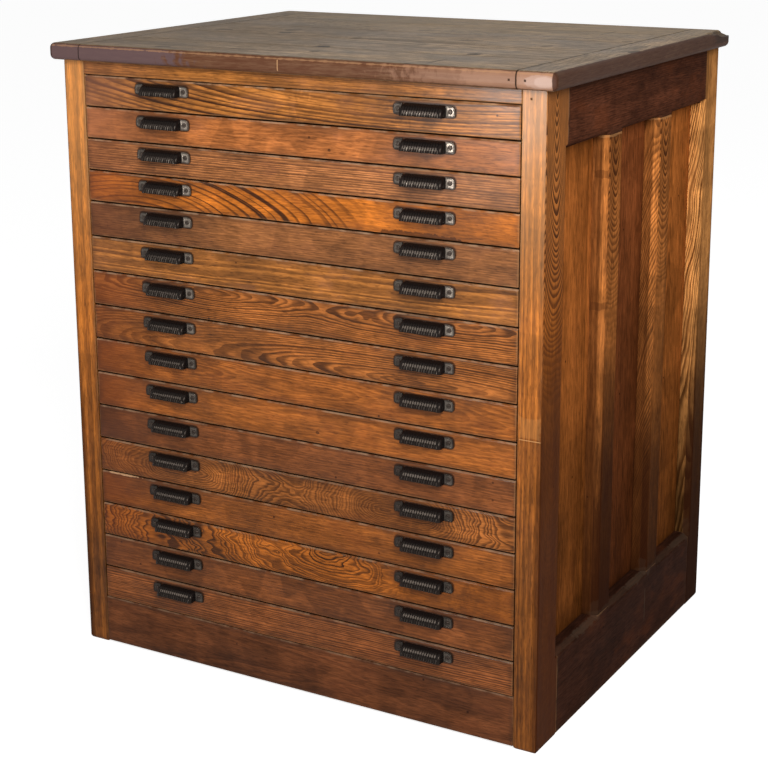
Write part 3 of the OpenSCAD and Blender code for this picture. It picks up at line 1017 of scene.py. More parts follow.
@dataclass(frozen=True)
class IronFinish:
    """Black-lacquered cast iron, worn to grey metal where hands touch it, with painted glints, painted shade
    and painted light in the same grey metal.
    """

    name: str
    lacquer: Colour = paint(20, 16, 15)
    metal: Colour = paint(152, 140, 128)
    sheen: float = 0.2
    gloss: float = 0.12

    def dress(self) -> bpy.types.Material:
        """Makes the material, which shows bare metal where a mesh notes wear and painted glints, and more of
        it on higher drawers as painted light.

        Returns:
            The material.
        """
        material = bpy.data.materials.new(self.name)
        graph = Graph.blank(material)
        point = graph.node("ShaderNodeTexCoord").outputs["Object"]
        rub = graph.node("ShaderNodeAttribute", attribute_name=RUB_AND_LIGHT).outputs["Fac"]
        broad = graph.noise(point, (60.0, 60.0, 60.0), 2.0, 3.0)
        grit = graph.noise(point, (500.0, 500.0, 500.0), 7.0, 3.0)
        bare_and_lit = graph.times(rub, graph.ramp(broad, 0.3, 0.65, 0.45, 1.0))
        bare_and_lit = graph.times(bare_and_lit, graph.ramp(grit, 0.3, 0.6, 0.6, 1.0))
        # Painted light: higher pulls show more bare metal.
        bare_and_lit = graph.times(bare_and_lit, graph.ramp(graph.split(point)[2], 0.35, 1.0, 0.25, 1.25))
        colour = graph.mix(bare_and_lit, self.lacquer, self.metal)
        rough = graph.math("MULTIPLY_ADD", broad, 0.16, self.sheen - 0.08)
        surface = graph.node("ShaderNodeBsdfPrincipled", {
            "Base Color": colour, "Metallic": graph.times(bare_and_lit, 0.5), "Roughness": rough,
            "Specular IOR Level": self.gloss, "Specular Tint": paint(255, 232, 212),
        })
        graph.node("ShaderNodeOutputMaterial", {"Surface": surface.outputs[0]})
        return material


class Side(Enum):
    """The two sides of the cabinet, as the sign of X."""

    RIGHT = 1
    LEFT = -1


@dataclass
class SideFrame:
    """One panelled side: two posts, two rails, two muntins and three panels."""

    frame_t: float = POST_T
    front_post_d: float = 0.076
    back_post_d: float = 0.060
    muntin_w: float = 0.062
    panel_count: int = 3
    panel_t: float = 0.008
    chamfer_w: float = 0.008
    chamfer_d: float = 0.012
    groove_d: float = 0.010
    play: float = 0.0008
    arris: float = 0.0012
    foot_round: float = 0.007
    spare: float = 0.02
    face_figure: Figure = Figure(
        spacing=0.0026, depth=-0.09, across=0.004, tilt=0.2, wave=0.014, pace=5.0, contrast=0.9, seed=1.3,
        line=0.4, fade_at=0.16, fade_span=-0.16,
    )
    # Strength of the grime on each upright's outer face, which on the front post's side face is also painted
    # shade.
    face_grime: dict[str, float] = field(
        default_factory=lambda: {"muntin_1": 0.54, "muntin_2": 0.26, "front_post": 0.5, "back_post": 0.56}
    )

    def __post_init__(self) -> None:
        """Takes the outline of the side from the frame."""
        posts_low, posts_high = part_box("corner_posts")
        self.outer, self.front, self.back = posts_high.x, posts_low.y, posts_high.y
        self.inner = self.outer - self.frame_t
        self.top = posts_high.z
        self.floor_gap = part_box("side_bottom_rails")[0].z
        self.panel_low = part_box("side_bottom_rails")[1].z
        self.panel_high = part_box("side_top_rails")[0].z
        self.panel_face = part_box("side_panels")[1].x
        self.field_front = self.front + self.front_post_d
        self.field_back = self.back - self.back_post_d
        openings = self.field_back - self.field_front - (self.panel_count - 1) * self.muntin_w
        self.opening_d = openings / self.panel_count

    def opening(self, k: int) -> tuple[float, float]:
        """Returns where opening k starts and ends, along Y."""
        start = self.field_front + k * (self.opening_d + self.muntin_w)
        return start, start + self.opening_d

    def cutters(self) -> list[Workpiece]:
        """Makes the shapes that cut the chamfers and the grooves round the openings.

        Returns:
            Two cutters for each opening.
        """
        made = []
        slope = self.chamfer_w / self.chamfer_d
        deep = self.outer - self.chamfer_d - self.spare
        proud = self.outer + self.spare
        inset = self.spare * slope
        for k in range(self.panel_count):
            start, end = self.opening(k)
            funnel = Workpiece.block(
                f"chamfer_cutter_{k}",
                Vector((deep, start + inset, self.panel_low + inset)),
                Vector((proud, end - inset, self.panel_high - inset)),
            )
            depth = end - start - 2 * inset
            height = self.panel_high - self.panel_low - 2 * inset
            flare = 2 * (proud - deep) * slope
            with funnel.editing("FACE"):
                funnel.pick_faces(lambda centre, normal: normal.x > 0.9)
                bpy.ops.transform.resize(
                    value=(1, 1 + flare / depth, 1 + flare / height),
                    center_override=(proud, (start + end) / 2, (self.panel_low + self.panel_high) / 2),
                )
            panel_back = self.panel_face - self.panel_t
            groove = Workpiece.block(
                f"groove_cutter_{k}",
                Vector((panel_back, start - self.groove_d, self.panel_low - self.groove_d)),
                Vector((self.panel_face, end + self.groove_d, self.panel_high + self.groove_d)),
            )
            made += [funnel, groove]
        return made

    def shape(self) -> dict[str, tuple[Workpiece, str]]:
        """Models the pieces of the right side.

        Returns:
            Each piece and the node that it stands for, by its name.
        """
        cutters = self.cutters()
        made: dict[str, tuple[Workpiece, str]] = {}

        def board(name: str, node: str, y: tuple[float, float], z: tuple[float, float]) -> Workpiece:
            """Cuts one board of the frame to shape."""
            piece = Workpiece.block(name, Vector((self.inner, y[0], z[0])), Vector((self.outer, y[1], z[1])))
            piece.cut(*cutters)
            made[name] = (piece, node)
            return piece

        upright = (0.0, self.top)
        fronts = (self.front, self.field_front)
        backs = (self.field_back, self.back)
        for name, reach in (("front_post", fronts), ("back_post", backs)):
            post = board(name, "corner_posts", reach, upright)
            post.round_edges(lambda a, b: max(a.z, b.z) < NEAR_BY, self.foot_round, 4)
            post.ease(self.arris)
        rail_y = (self.field_front, self.field_back)
        board("top_rail", "side_top_rails", rail_y, (self.panel_high, self.top)).ease(self.arris)
        board("bottom_rail", "side_bottom_rails", rail_y, (self.floor_gap, self.panel_low)).ease(self.arris)
        for k in range(self.panel_count - 1):
            muntin_y = (self.opening(k)[1], self.opening(k + 1)[0])
            muntin = board(f"muntin_{k + 1}", "side_muntins", muntin_y, (self.panel_low, self.panel_high))
            muntin.ease(self.arris)
        reach = self.groove_d - self.play
        for k in range(self.panel_count):
            start, end = self.opening(k)
            panel = Workpiece.block(
                f"panel_{k + 1}",
                Vector((self.panel_face - self.panel_t, start - reach, self.panel_low - reach)),
                Vector((self.panel_face, end + reach, self.panel_high + reach)),
            )
            made[f"panel_{k + 1}"] = (panel.ease(self.arris / 2), "side_panels")
        for cutter in cutters:
            cutter.discard()
        return made

    def looks(self, side: Side) -> dict[str, tuple[WoodFinish, Lay, Figure, str]]:
        """Gives the finish, lay, rings and slot of each piece.

        Args:
            side: Which side of the cabinet.

        Returns:
            The looks, by the piece's name.
        """
        upright, along = (
            (Lay.UPRIGHT_RIGHT, Lay.ALONG_RIGHT) if side is Side.RIGHT else (Lay.UPRIGHT_LEFT, Lay.ALONG_LEFT)
        )
        own = 0.0 if side is Side.RIGHT else 40.0
        straight = Figure(
            spacing=0.004, depth=0.05, across=0.16, tilt=0.004, wave=0.003, contrast=0.6, line=0.45,
        )
        wavy = replace(straight, wave=0.01, pace=8.0)
        chevron = Figure(
            spacing=0.003, depth=-0.11, across=0.006, tilt=0.28, wave=0.008, pace=6.0, contrast=0.9, line=0.4,
        )
        flame = Figure(
            spacing=0.0034, depth=0.02, across=0.004, tilt=0.05, pace=2.5, contrast=0.75, line=0.42,
        )
        zigzag = Figure(
            spacing=0.004, depth=0.03, across=-0.02, tilt=0.16, wave=0.012, pace=9.0, contrast=1.0, line=0.36,
        )
        return {
            "front_post": (HONEY, upright, replace(straight, tilt=0.0, seed=own + 1.3), "post_wood"),
            "back_post": (GILDED, upright, replace(zigzag, seed=own + 2.7), "post_wood"),
            "top_rail": (WALNUT, along, replace(flame, contrast=0.5, seed=own + 3.1), "side_wood"),
            "bottom_rail": (SMOKED, along, replace(flame, contrast=0.4, seed=own + 4.9), "side_wood"),
            "muntin_1": (MOULDED, upright, replace(wavy, seed=own + 5.2), "side_wood"),
            "muntin_2": (MOULDED, upright, replace(chevron, seed=own + 6.8), "side_wood"),
            "panel_1": (CHESTNUT, upright, replace(straight, across=0.22, seed=own + 7.4), "side_wood"),
            "panel_2": (DARK_CHESTNUT, upright, replace(straight, across=0.26, seed=own + 8.6), "side_wood"),
            "panel_3": (CHESTNUT, upright, replace(flame, contrast=0.5, seed=own + 9.5), "side_wood"),
        }

    def marks(self, name: str, side: Side) -> tuple[Scuff, ...]:
        """Gives the grime and painted shade on the outer face of a piece and in its recesses, and its own
        marks.

        Args:
            name: Name of the piece.
            side: Which side of the cabinet.

        Returns:
            The marks.
        """
        sign = side.value
        outer, bevel = sign * self.outer, sign * (self.outer - self.chamfer_d / 2)
        dust, pale = paint(84, 70, 56), paint(206, 152, 98)
        grime = self.face_grime.get(name, 0.0)
        if name == "bottom_rail":
            low = self.panel_low - 0.004
            corners = [self.opening(k)[1] - 0.03 for k in range(self.panel_count)]
            return (
                Scuff((bevel, 0.0, low), (0.005, 1.0, 0.005), dust, 0.14, 1.2),
                *(Scuff((bevel, y, low), (0.006, 0.05, 0.006), dust, 0.18, 2.0) for y in corners),
                Scuff((outer, 0.1, 0.085), (0.004, 0.001, 0.034), dust, 0.6, 0.4),
            )
        if not grime:
            return ()
        rebate = self.outer - self.chamfer_d
        wall = (self.panel_face + rebate) / 2
        # Grime, and on the front post's side face painted shade, darken the outer face; the next marks darken
        # it and the chamfers towards the bottom, and the last is painted shade on the recess walls.
        tone, rise = (paint(112, 52, 10), 1.86) if name == "front_post" else (paint(50, 23, 10), 1.7)
        found = [
            Scuff((outer, 0.0, 0.5), (0.002, 1.0, 1.0), tone, grime, 0.0),
            Scuff((outer, 0.0, -1.0), (0.002, 1.0, rise), NEAR_BLACK, min(0.74, 1.5 * grime), 0.0),
            Scuff((bevel, 0.0, -1.0), (self.chamfer_d / 2, 0.4, 1.6), paint(46, 21, 10), 0.84, 0.0),
            Scuff((sign * wall, 0.0, 0.5), (rebate - wall + 0.002, 0.25, 1.0), paint(66, 34, 16), 0.6, 0.0),
        ]
        if name == "muntin_1":
            edge = self.opening(0)[1]
            found += [
                Scuff((sign * rebate, edge, high), (0.016, 0.012, 0.007), paint(74, 40, 20), 0.45, 1.9)
                for high in (0.914, 0.695)
            ]
        if name.startswith("muntin"):
            found.append(Scuff((outer, 0.0, self.panel_high), (0.05, 1.0, 0.004), pale, 0.25, 1.8))
            found.append(Scuff((outer, 0.0, self.panel_low), (0.02, 1.0, 0.008), dust, 0.12, 1.4))
        corner = {"muntin_1": 0, "muntin_2": 1, "back_post": 2}.get(name)
        if corner is not None:
            place = (bevel, self.opening(corner)[1], self.panel_low + 0.008)
            found.append(Scuff(place, (0.008, 0.008, 0.018), dust, 0.1, 2.0))
        if name == "front_post" and side is Side.RIGHT:
            middle = self.outer - self.frame_t / 2
            found.append(Scuff((middle, self.front, 0.551), (0.019, 0.003, 0.019), pale, 0.16, 0.9))
            found.append(Scuff((middle, self.front, 0.531), (0.02, 0.003, 0.0008), pale, 0.6, 0.4))
            found.append(Scuff((middle - 0.006, self.front, 1.062), (0.002, 0.003, 0.002), DIRT_AND_SHADOW, 0.8, 0.3))
        return tuple(found)

    def build(self) -> None:
        """Models the right side, mirrors it to the left and dresses both."""
        for name, (piece, node) in self.shape().items():
            other = piece.mirrored(f"left_{name}")
            piece.piece.name = f"right_{name}"
            for made, side in ((piece, Side.RIGHT), (other, Side.LEFT)):
                finish, lay, figure, slot = self.looks(side)[name]
                low, high = made.box()
                upright = name in self.face_grime
                plain = replace(self.face_figure, fade_span=0.06, fade_at=-9.0)
                own = plain if name == "back_post" else self.face_figure
                through = 0.5 if name == "front_post" else 0.0
                face = FaceRings(own, self.outer, through) if upright else None
                material = finish.dress(
                    made.piece.name, low, high, lay, figure, self.marks(name, side), face=face
                )
                made.set_out(material, CARCASS, slot, node)


@dataclass
class FrontBoards:
    """The rail above the drawers and the plinth below them."""

    arris: float = 0.0015

    def board(self, node: str, finish: WoodFinish, figure: Figure, slot: str) -> None:
        """Models and dresses one board between the posts.

        Args:
            node: Node that it stands for.
            finish: Its finish.
            figure: Its growth rings.
            slot: Its material slot.
        """
        low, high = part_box(node)
        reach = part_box("corner_posts")[1].x - POST_T
        low.x, high.x = -reach, reach
        piece = Workpiece.block(f"front_{node}", low, high).ease(self.arris, 3)
        piece.set_out(finish.dress(node, low, high, Lay.ALONG_FRONT, figure), CARCASS, slot, node)

    def build(self) -> None:
        """Models and dresses both boards."""
        rail = Figure(spacing=0.005, depth=0.03, across=0.12, tilt=0.01, wave=0.004, contrast=0.5, seed=11.0)
        self.board("front_top_rail", replace(GOLDEN, ledge=0.0), rail, "post_wood")
        base = Figure(spacing=0.006, depth=0.09, tilt=0.03, wave=0.01, contrast=0.5, seed=12.0)
        self.board("plinth", PLINTH_BROWN, base, "side_wood")


@dataclass
class CabinetTop:
    """The top: boards that run left to right, between two breadboard ends."""

    breadboard_w: float = 0.066
    board_count: int = 5
    edge_round: float = 0.009
    joint_ease: float = 0.0009
    joint_gap: float = 0.00015
    chip_inset: Vector = field(default_factory=lambda: Vector((0.004, 0.022, 0.0)))
    chip_half: Vector = field(default_factory=lambda: Vector((0.018, 0.045, 0.011)))

    def __post_init__(self) -> None:
        """Takes the outline of the top from the frame."""
        self.low, self.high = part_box("breadboard_ends")
        self.joint_x = self.high.x - self.breadboard_w

    def edges(self) -> tuple[Scuff, ...]:
        """Returns the browner edges of the top, where hands and varnish have kept the grey off, with painted
        reflections: grey at the left of the front edge, and a sheen and glint at its right.
        """
        middle = (self.low.z + self.high.z) / 2
        brown, dark = paint(88, 49, 31), paint(62, 37, 27)
        plum, crack, broken = paint(92, 74, 76), paint(24, 18, 13), paint(44, 31, 24)
        chipped, painted_sheen, scratch = paint(172, 128, 92), paint(186, 142, 116), paint(204, 158, 112)
        painted_glint = paint(226, 204, 194)
        return (
            Scuff((0.0, self.low.y, middle), (1.0, 0.006, 0.1), brown, 0.8, 0.5, True),
            # Painted grey reflection at the left of the front edge.
            Scuff((-self.high.x, self.low.y, middle), (0.3, 0.004, 0.1), plum, 0.8, 0.9, True),
            # Painted sheen and glint at the right of the front edge.
            Scuff((0.6, self.low.y, middle), (0.42, 0.004, 0.1), painted_sheen, 0.26, 0.9, True),
            Scuff((0.5, self.low.y, middle), (0.2, 0.004, 0.1), painted_sheen, 0.2, 0.9, True),
            Scuff((self.high.x, self.low.y, middle), (0.07, 0.004, 0.1), painted_sheen, 0.2, 0.3, True),
            Scuff((0.452, self.low.y, middle - 0.001), (0.03, 0.006, 0.012), painted_glint, 0.16, 0.6, True, 1.0),
            Scuff((0.457, self.low.y, middle - 0.001), (0.018, 0.006, 0.009), painted_glint, 0.16, 0.6, True, 1.0),
            Scuff((0.0, self.low.y, self.high.z - 0.004), (1.0, 0.006, 0.0012), chipped, 0.45, 4.2),
            Scuff((-0.008, self.low.y, middle), (0.001, 0.004, 0.010), scratch, 0.6, 0.5),
            Scuff((0.400, self.low.y, middle), (0.002, 0.004, 0.002), DIRT_AND_SHADOW, 0.85, 0.3),
            Scuff((0.4265, self.low.y, middle), (0.002, 0.004, 0.002), DIRT_AND_SHADOW, 0.85, 0.3),
            Scuff((self.high.x, 0.0, middle), (0.008, 1.0, 0.1), dark, 0.92, 0.5),
            Scuff((-self.high.x, 0.0, middle), (0.008, 1.0, 0.1), dark, 0.92, 0.5),
            Scuff((self.high.x, self.high.y, self.high.z - 0.011), (0.04, 0.09, 0.009), broken, 0.7, 0.8),
            Scuff((self.joint_x, 0.0, middle), (0.0015, 1.0, 0.1), crack, 0.85, 0.9),
            Scuff((-self.joint_x, 0.0, middle), (0.0012, 1.0, 0.1), crack, 0.7, 0.9),
        )

    def stains(self, low: Vector, high: Vector) -> tuple[Scuff, ...]:
        """Returns the dark stains on the top face that touch a box, with painted shade over the left of the
        top and a painted sheen over its back.

        Args:
            low: Lowest corner of the box.
            high: Highest corner of the box.

        Returns:
            The stains.
        """
        ink, damp_and_shade, painted_far_sheen = paint(44, 35, 27), paint(92, 77, 60), paint(178, 156, 124)
        spots = (
            ((-0.228, 0.012), (0.016, 0.018), ink, 0.75), ((-0.212, -0.035), (0.016, 0.015), ink, 0.9),
            ((-0.344, -0.038), (0.018, 0.016), ink, 0.7), ((-0.023, -0.214), (0.017, 0.013), ink, 0.92),
            ((0.006, -0.285), (0.011, 0.011), ink, 0.85), ((-0.044, -0.071), (0.014, 0.010), ink, 0.55),
            ((0.256, -0.204), (0.013, 0.012), ink, 0.92), ((0.148, -0.012), (0.028, 0.014), ink, 0.5),
            ((0.306, 0.22), (0.003, 0.04), ink, 0.75), ((-0.011, 0.121), (0.016, 0.014), ink, 0.5),
            ((-0.428, 0.304), (0.014, 0.022), ink, 0.65), ((-0.258, -0.342), (0.02, 0.010), ink, 0.85),
            ((0.25, -0.32), (0.003, 0.04), ink, 0.75), ((0.393, 0.096), (0.01, 0.012), ink, 0.6),
            ((0.468, -0.054), (0.012, 0.02), ink, 0.75), ((0.306, -0.038), (0.01, 0.018), ink, 0.45),
            ((0.2, 0.21), (0.1, 0.025), damp_and_shade, 0.65), ((-0.28, 0.23), (0.09, 0.025), damp_and_shade, 0.65),
            # The first mark below is painted shade over the left of the top.
            ((-0.4, 0.0), (0.38, 0.9), damp_and_shade, 0.4), ((0.07, -0.06), (0.16, 0.022), damp_and_shade, 0.55),
            # Painted sheen over the back of the top.
            ((0.05, 0.42), (0.6, 0.34), painted_far_sheen, 0.2),
        )
        return tuple(
            Scuff((x, y, self.high.z), (wide, deep, 0.003), colour, strength, 1.4, rounded=1.0)
            for (x, y), (wide, deep), colour, strength in spots
            if low.x - wide < x < high.x + wide and low.y - deep < y < high.y + deep
        )

    def boards(self) -> None:
        """Models and dresses the boards between the ends."""
        pitch = (self.high.y - self.low.y + self.joint_gap) / self.board_count
        for k in range(self.board_count):
            start = self.low.y + k * pitch
            end = start + pitch - self.joint_gap
            low = Vector((-self.joint_x, start, self.low.z))
            high = Vector((self.joint_x, end, self.high.z))
            board = Workpiece.block(f"top_board_{k + 1}", low, high)
            outer = self.low.y if k == 0 else self.high.y
            board.round_edges(
                lambda a, b: abs(a.y - outer) + abs(b.y - outer) < NEAR_BY and abs(a.x - b.x) > 0.1,
                self.edge_round, 5,
            )
            board.ease(self.joint_ease, 1)
            figure = Figure(spacing=0.006, depth=0.12, tilt=0.02, wave=0.01, contrast=0.5, seed=20.0 + k)
            marks = self.stains(low, high) + self.edges()
            material = WEATHERED.dress(f"board_{k + 1}", low, high, Lay.ALONG_TOP, figure, marks)
            board.set_out(material, CARCASS, "top_wood", "top_boards")

    def ends(self) -> None:
        """Models and dresses the two breadboard ends."""
        low = Vector((self.joint_x, self.low.y, self.low.z))
        end = Workpiece.block("right_breadboard_end", low, self.high)
        end.round_edges(
            lambda a, b: max(a.x, b.x) > self.joint_x + NEAR_BY, self.edge_round, 5
        )
        end.ease(self.joint_ease, 1)
        other = end.mirrored("left_breadboard_end")
        corner = self.high - self.chip_inset
        end.chip(corner, self.chip_half)
        end.chip(corner - Vector((0.004, 0.05, -0.002)), self.chip_half * 0.6)
        for piece, seed in ((end, 31.0), (other, 32.0)):
            figure = Figure(spacing=0.005, depth=0.10, tilt=0.02, wave=0.006, contrast=0.5, seed=seed)
            marks = self.stains(*piece.box()) + self.edges()
            material = WEATHERED.dress(piece.piece.name, *piece.box(), Lay.ACROSS_TOP, figure, marks)
            piece.set_out(material, CARCASS, "top_wood", "breadboard_ends")

    def build(self) -> None:
        """Models and dresses the whole top."""
        self.boards()
        self.ends()


@dataclass
class CupPull:
    """A cast cup pull: a fluted hood that is open below, between two flat ears with a screw each."""

    hood_l: float = 0.076
    hood_r: float = 0.018
    wall: float = 0.0026
    ear_l: float = 0.016
    ear_t: float = 0.003
    ear_upper_r: float = 0.0088
    ear_lower_r: float = 0.003
    flute_count: int = 14
    flute_depth: float = 0.0014
    end_round: float = 0.0055
    rim_w: float = 0.0022
    arc_sides: int = 64
    screw_r: float = 0.0038
    screw_h: float = 0.0018
    screw_sides: int = 24
    screw_sink: float = 0.0005
    slot_w: float = 0.0009
    slot_reach: float = 0.006
    slot_spare: float = 0.001
    dish_rim: float = 0.0014
    dish_slope: float = 0.0008
    dish_depth: float = 0.0006
    ear_arris: float = 0.0004
    flute_top: float = math.radians(88)
    flute_fade: float = math.radians(40)
    rubbed_degrees: tuple[float, float] = (3.0, 20.0)

    def __post_init__(self) -> None:
        """Works out the fluted stretch, where four columns of points make a flute."""
        self.flute_reach = self.hood_l / 2 - self.end_round
        self.column_w = 2 * self.flute_reach / (4 * self.flute_count + 2)

    def column(self, x: float) -> int:
        """Returns the number of the column of points at a place along the hood."""
        return round((x + self.flute_reach) / self.column_w)

    def hood(self) -> Workpiece:
        """Models the hood with its flutes, round the origin on the face of the drawer.

        Returns:
            The hood.
        """
        axis = Vector((0, 0, -self.hood_r / 2))
        hood = Workpiece.rod("hood", axis, self.hood_r, self.hood_l, (0, math.pi / 2, 0), self.arc_sides)
        with hood.editing("FACE"):
            bpy.ops.mesh.select_all(action="SELECT")
            bpy.ops.mesh.bisect(plane_co=axis, plane_no=(0, 0, 1), clear_inner=True)
            bpy.ops.mesh.select_all(action="SELECT")
            bpy.ops.mesh.bisect(plane_co=(0, 0, 0), plane_no=(0, 1, 0), clear_outer=True)
        half = self.hood_l / 2
        hood.round_edges(
            lambda a, b: abs(a.x) > half - NEAR_BY and abs(a.x - b.x) < NEAR_BY
            and self.on_arc(a) and self.on_arc(b),
            self.end_round, 4,
        )
        with hood.editing("EDGE"):
            hood.pick_edges(lambda a, b: abs(a.x - b.x) > half)
            bpy.ops.mesh.subdivide(number_cuts=4 * self.flute_count + 1)
        self.flute(hood, axis)
        hood.apply("SOLIDIFY", thickness=self.wall, offset=-1.0, use_even_offset=True)
        return self.note_rub(hood, self.crest_rub)

    @staticmethod
    def note_rub(piece: Workpiece, share: Callable[[Vector], float]) -> Workpiece:
        """Notes on each point of a piece how bare its metal is, from wear and from painted glints and shade.

        Args:
            piece: The piece.
            share: Gives the share at a point, from 0 to 1.

        Returns:
            The same piece.
        """
        notes = piece.piece.data.attributes.new(RUB_AND_LIGHT, "FLOAT", "POINT")
        for point, note in zip(piece.piece.data.vertices, notes.data):
            note.value = share(point.co)
        return piece

    def crest_rub(self, point: Vector) -> float:
        """Says how bare the hood is at a point: only the ribs' crests are, where fingers end; this bare metal
        also stands for painted glints.
        """
        column = self.column(point.x)
        angle = math.degrees(math.atan2(point.z + self.hood_r / 2, -point.y))
        lowest, highest = self.rubbed_degrees
        if column % 4 != 1 or not self.on_arc(point) or not lowest < angle < highest:
            return 0.0
        # Painted glints on the crests, with wear.
        return 0.1 + 0.6 * ((column // 4 * 7) % 5) / 4

    def ear_rub(self, point: Vector) -> float:
        """Says how bare an ear is at a point: least at its rim, and more on the right; the duller left ear is
        painted shade from the hood.
        """
        reach = self.hood_l / 2 + self.ear_l - abs(point.x)
        rise = self.hood_r / 2 - abs(point.z)
        rim = 0.3 if min(reach, rise) < self.rim_w else 0.9
        # Painted shade: the left ear lies in the hood's shadow.
        return rim if point.x > 0 else 0.3 * rim

    def on_arc(self, point: Vector) -> bool:
        """Says if a point lies on the round of the hood."""
        return abs(math.hypot(point.y, point.z + self.hood_r / 2) - self.hood_r) < 1e-4

    def flute(self, hood: Workpiece, axis: Vector) -> None:
        """Draws in every other stretch of the hood, less towards its top.

        Args:
            hood: The hood's skin.
            axis: Point on the axis of the hood.
        """
        steps = self.arc_sides // 4
        for row in range(steps):
            angle = math.pi / 2 * row / steps
            fade = min(1.0, max(0.0, (self.flute_top - angle) / self.flute_fade))
            for share, columns in ((1.0, (3,)), (0.5, (2, 0))):
                depth = self.flute_depth * fade * share
                if depth <= 0:
                    continue
                with hood.editing("VERT"):
                    found = hood.pick_points(
                        lambda p: abs(p.x) < self.flute_reach - self.column_w / 2
                        and self.column(p.x) % 4 in columns
                        and abs(math.atan2(p.z - axis.z, -p.y) - angle) < 0.01
                    )
                    if found:
                        inward = 1 - depth / self.hood_r
                        bpy.ops.transform.resize(value=(1, inward, inward), center_override=axis)

    def ear(self) -> Workpiece:
        """Models the right ear, with a wide upper corner and a small lower one.

        Returns:
            The ear.
        """
        start, end = self.hood_l / 2, self.hood_l / 2 + self.ear_l
        half_h = self.hood_r / 2
        ear = Workpiece.block(
            "ear", Vector((start, -self.ear_t, -half_h)), Vector((end, 0, half_h))
        )

        def corner(a: Vector, b: Vector, upper: bool) -> bool:
            """Says if an edge is the outer corner above or below."""
            return min(a.x, b.x) > end - NEAR_BY and abs(a.y - b.y) > 1e-4 and (a.z > 0) == upper

        ear.round_edges(lambda a, b: corner(a, b, True), self.ear_upper_r, 8)
        ear.round_edges(lambda a, b: corner(a, b, False), self.ear_lower_r, 4)
        with ear.editing("FACE"):
            ear.pick_faces(lambda centre, normal: normal.y < -0.9)
            bpy.ops.mesh.inset(thickness=self.dish_rim, depth=0)
            bpy.ops.mesh.inset(thickness=self.dish_slope, depth=-self.dish_depth)
        return ear.ease(self.ear_arris, 2)

    def screw(self, name: str, x: float, turn: float) -> Workpiece:
        """Models a domed screw head with a slot, on the face of an ear.

        Args:
            name: Name of the screw.
            x: Place along the pull.
            turn: Angle of the slot.

        Returns:
            The screw.
        """
        middle = Vector((x, -self.ear_t - self.screw_h / 2 + self.screw_sink, 0))
        head = Workpiece.rod(
            name, middle, self.screw_r, self.screw_h, (math.pi / 2, 0, 0), self.screw_sides
        )
        face = middle.y - self.screw_h / 2
        head.round_edges(lambda a, b: max(a.y, b.y) < face + NEAR_BY, self.screw_h * 0.7, 4)
        depth = self.screw_h / 2
        slot = Workpiece.block(
            "slot",
            Vector((x - self.slot_reach, face - self.slot_spare, -self.slot_w / 2)),
            Vector((x + self.slot_reach, face + depth, self.slot_w / 2)),
        )
        with slot.editing("FACE"):
            bpy.ops.mesh.select_all(action="SELECT")
            bpy.ops.transform.rotate(value=turn, orient_axis="Y", center_override=middle)
        head.cut(slot)
        slot.discard()
        bare = self.screw_r / 2
        return self.note_rub(head, lambda point: 0.6 if math.hypot(point.x - x, point.z) < bare else 0.1)

    def shape(self) -> Workpiece:
        """Models a whole pull without its screws.

        Returns:
            The pull.
        """
        hood, ear = self.hood(), self.ear()
        ears = [self.note_rub(piece, self.ear_rub) for piece in (ear.mirrored("left_ear"), ear)]
        return hood.join(*ears)

    def screw_pairs(self, turns: tuple[tuple[float, float], ...]) -> list[Workpiece]:
        """Models pairs of screws whose slots stand at different angles.

        Args:
            turns: Angles of the two slots of each pair.

        Returns:
            The pairs.
        """
        reach = (self.hood_l + self.ear_l) / 2
        pairs = []
        for left, right in turns:
            pair = self.screw("screw_pair", -reach, left)
            pairs.append(pair.join(self.screw("screw", reach, right)))
        return pairs


class Mark(Enum):
    """Marks on a drawer front: their colour, strength and how uneven they are."""

    KNOT = (paint(50, 25, 12), 0.7, 1.4)
    STAIN = (paint(56, 29, 14), 0.26, 1.5)
    CHIP = (paint(204, 160, 118), 0.6, 1.8)


@dataclass(frozen=True)
class DrawerLook:
    """Wood of one drawer front.

    Attributes:
        finish: Its finish.
        figure: Its growth rings.
        tone: How light it is.
        left_stain: How darkened its left end is, by stain and painted shade.
        zones: How much its zones differ.
        marks: Kind, place along it, height over its middle, half width and half height of its marks.
    """

    finish: WoodFinish
    figure: Figure
    tone: float = 1.0
    left_stain: float = 0.45
    zones: float = 0.1
    marks: tuple[tuple[Mark, float, float, float, float], ...] = ()

    def scuffs(self, front: float, middle: float) -> tuple[Scuff, ...]:
        """Returns the marks of a front whose face and middle height are given."""
        found = []
        for kind, x, z, wide, high in self.marks:
            colour, strength, rough = kind.value
            place, half = (x, front, middle + z), (wide, 0.004, high)
            found.append(Scuff(place, half, colour, strength, rough, True, 1.0))
        return tuple(found)

    def own_finish(self) -> WoodFinish:
        """Returns the finish in this drawer's own tone."""
        early, late, stain = (
            (*(part * self.tone for part in colour[:3]), 1.0)
            for colour in (self.finish.early, self.finish.late, self.finish.stain)
        )
        return replace(
            self.finish, early=early, late=late, stain=stain, left_stain=self.left_stain, zones=self.zones
        )


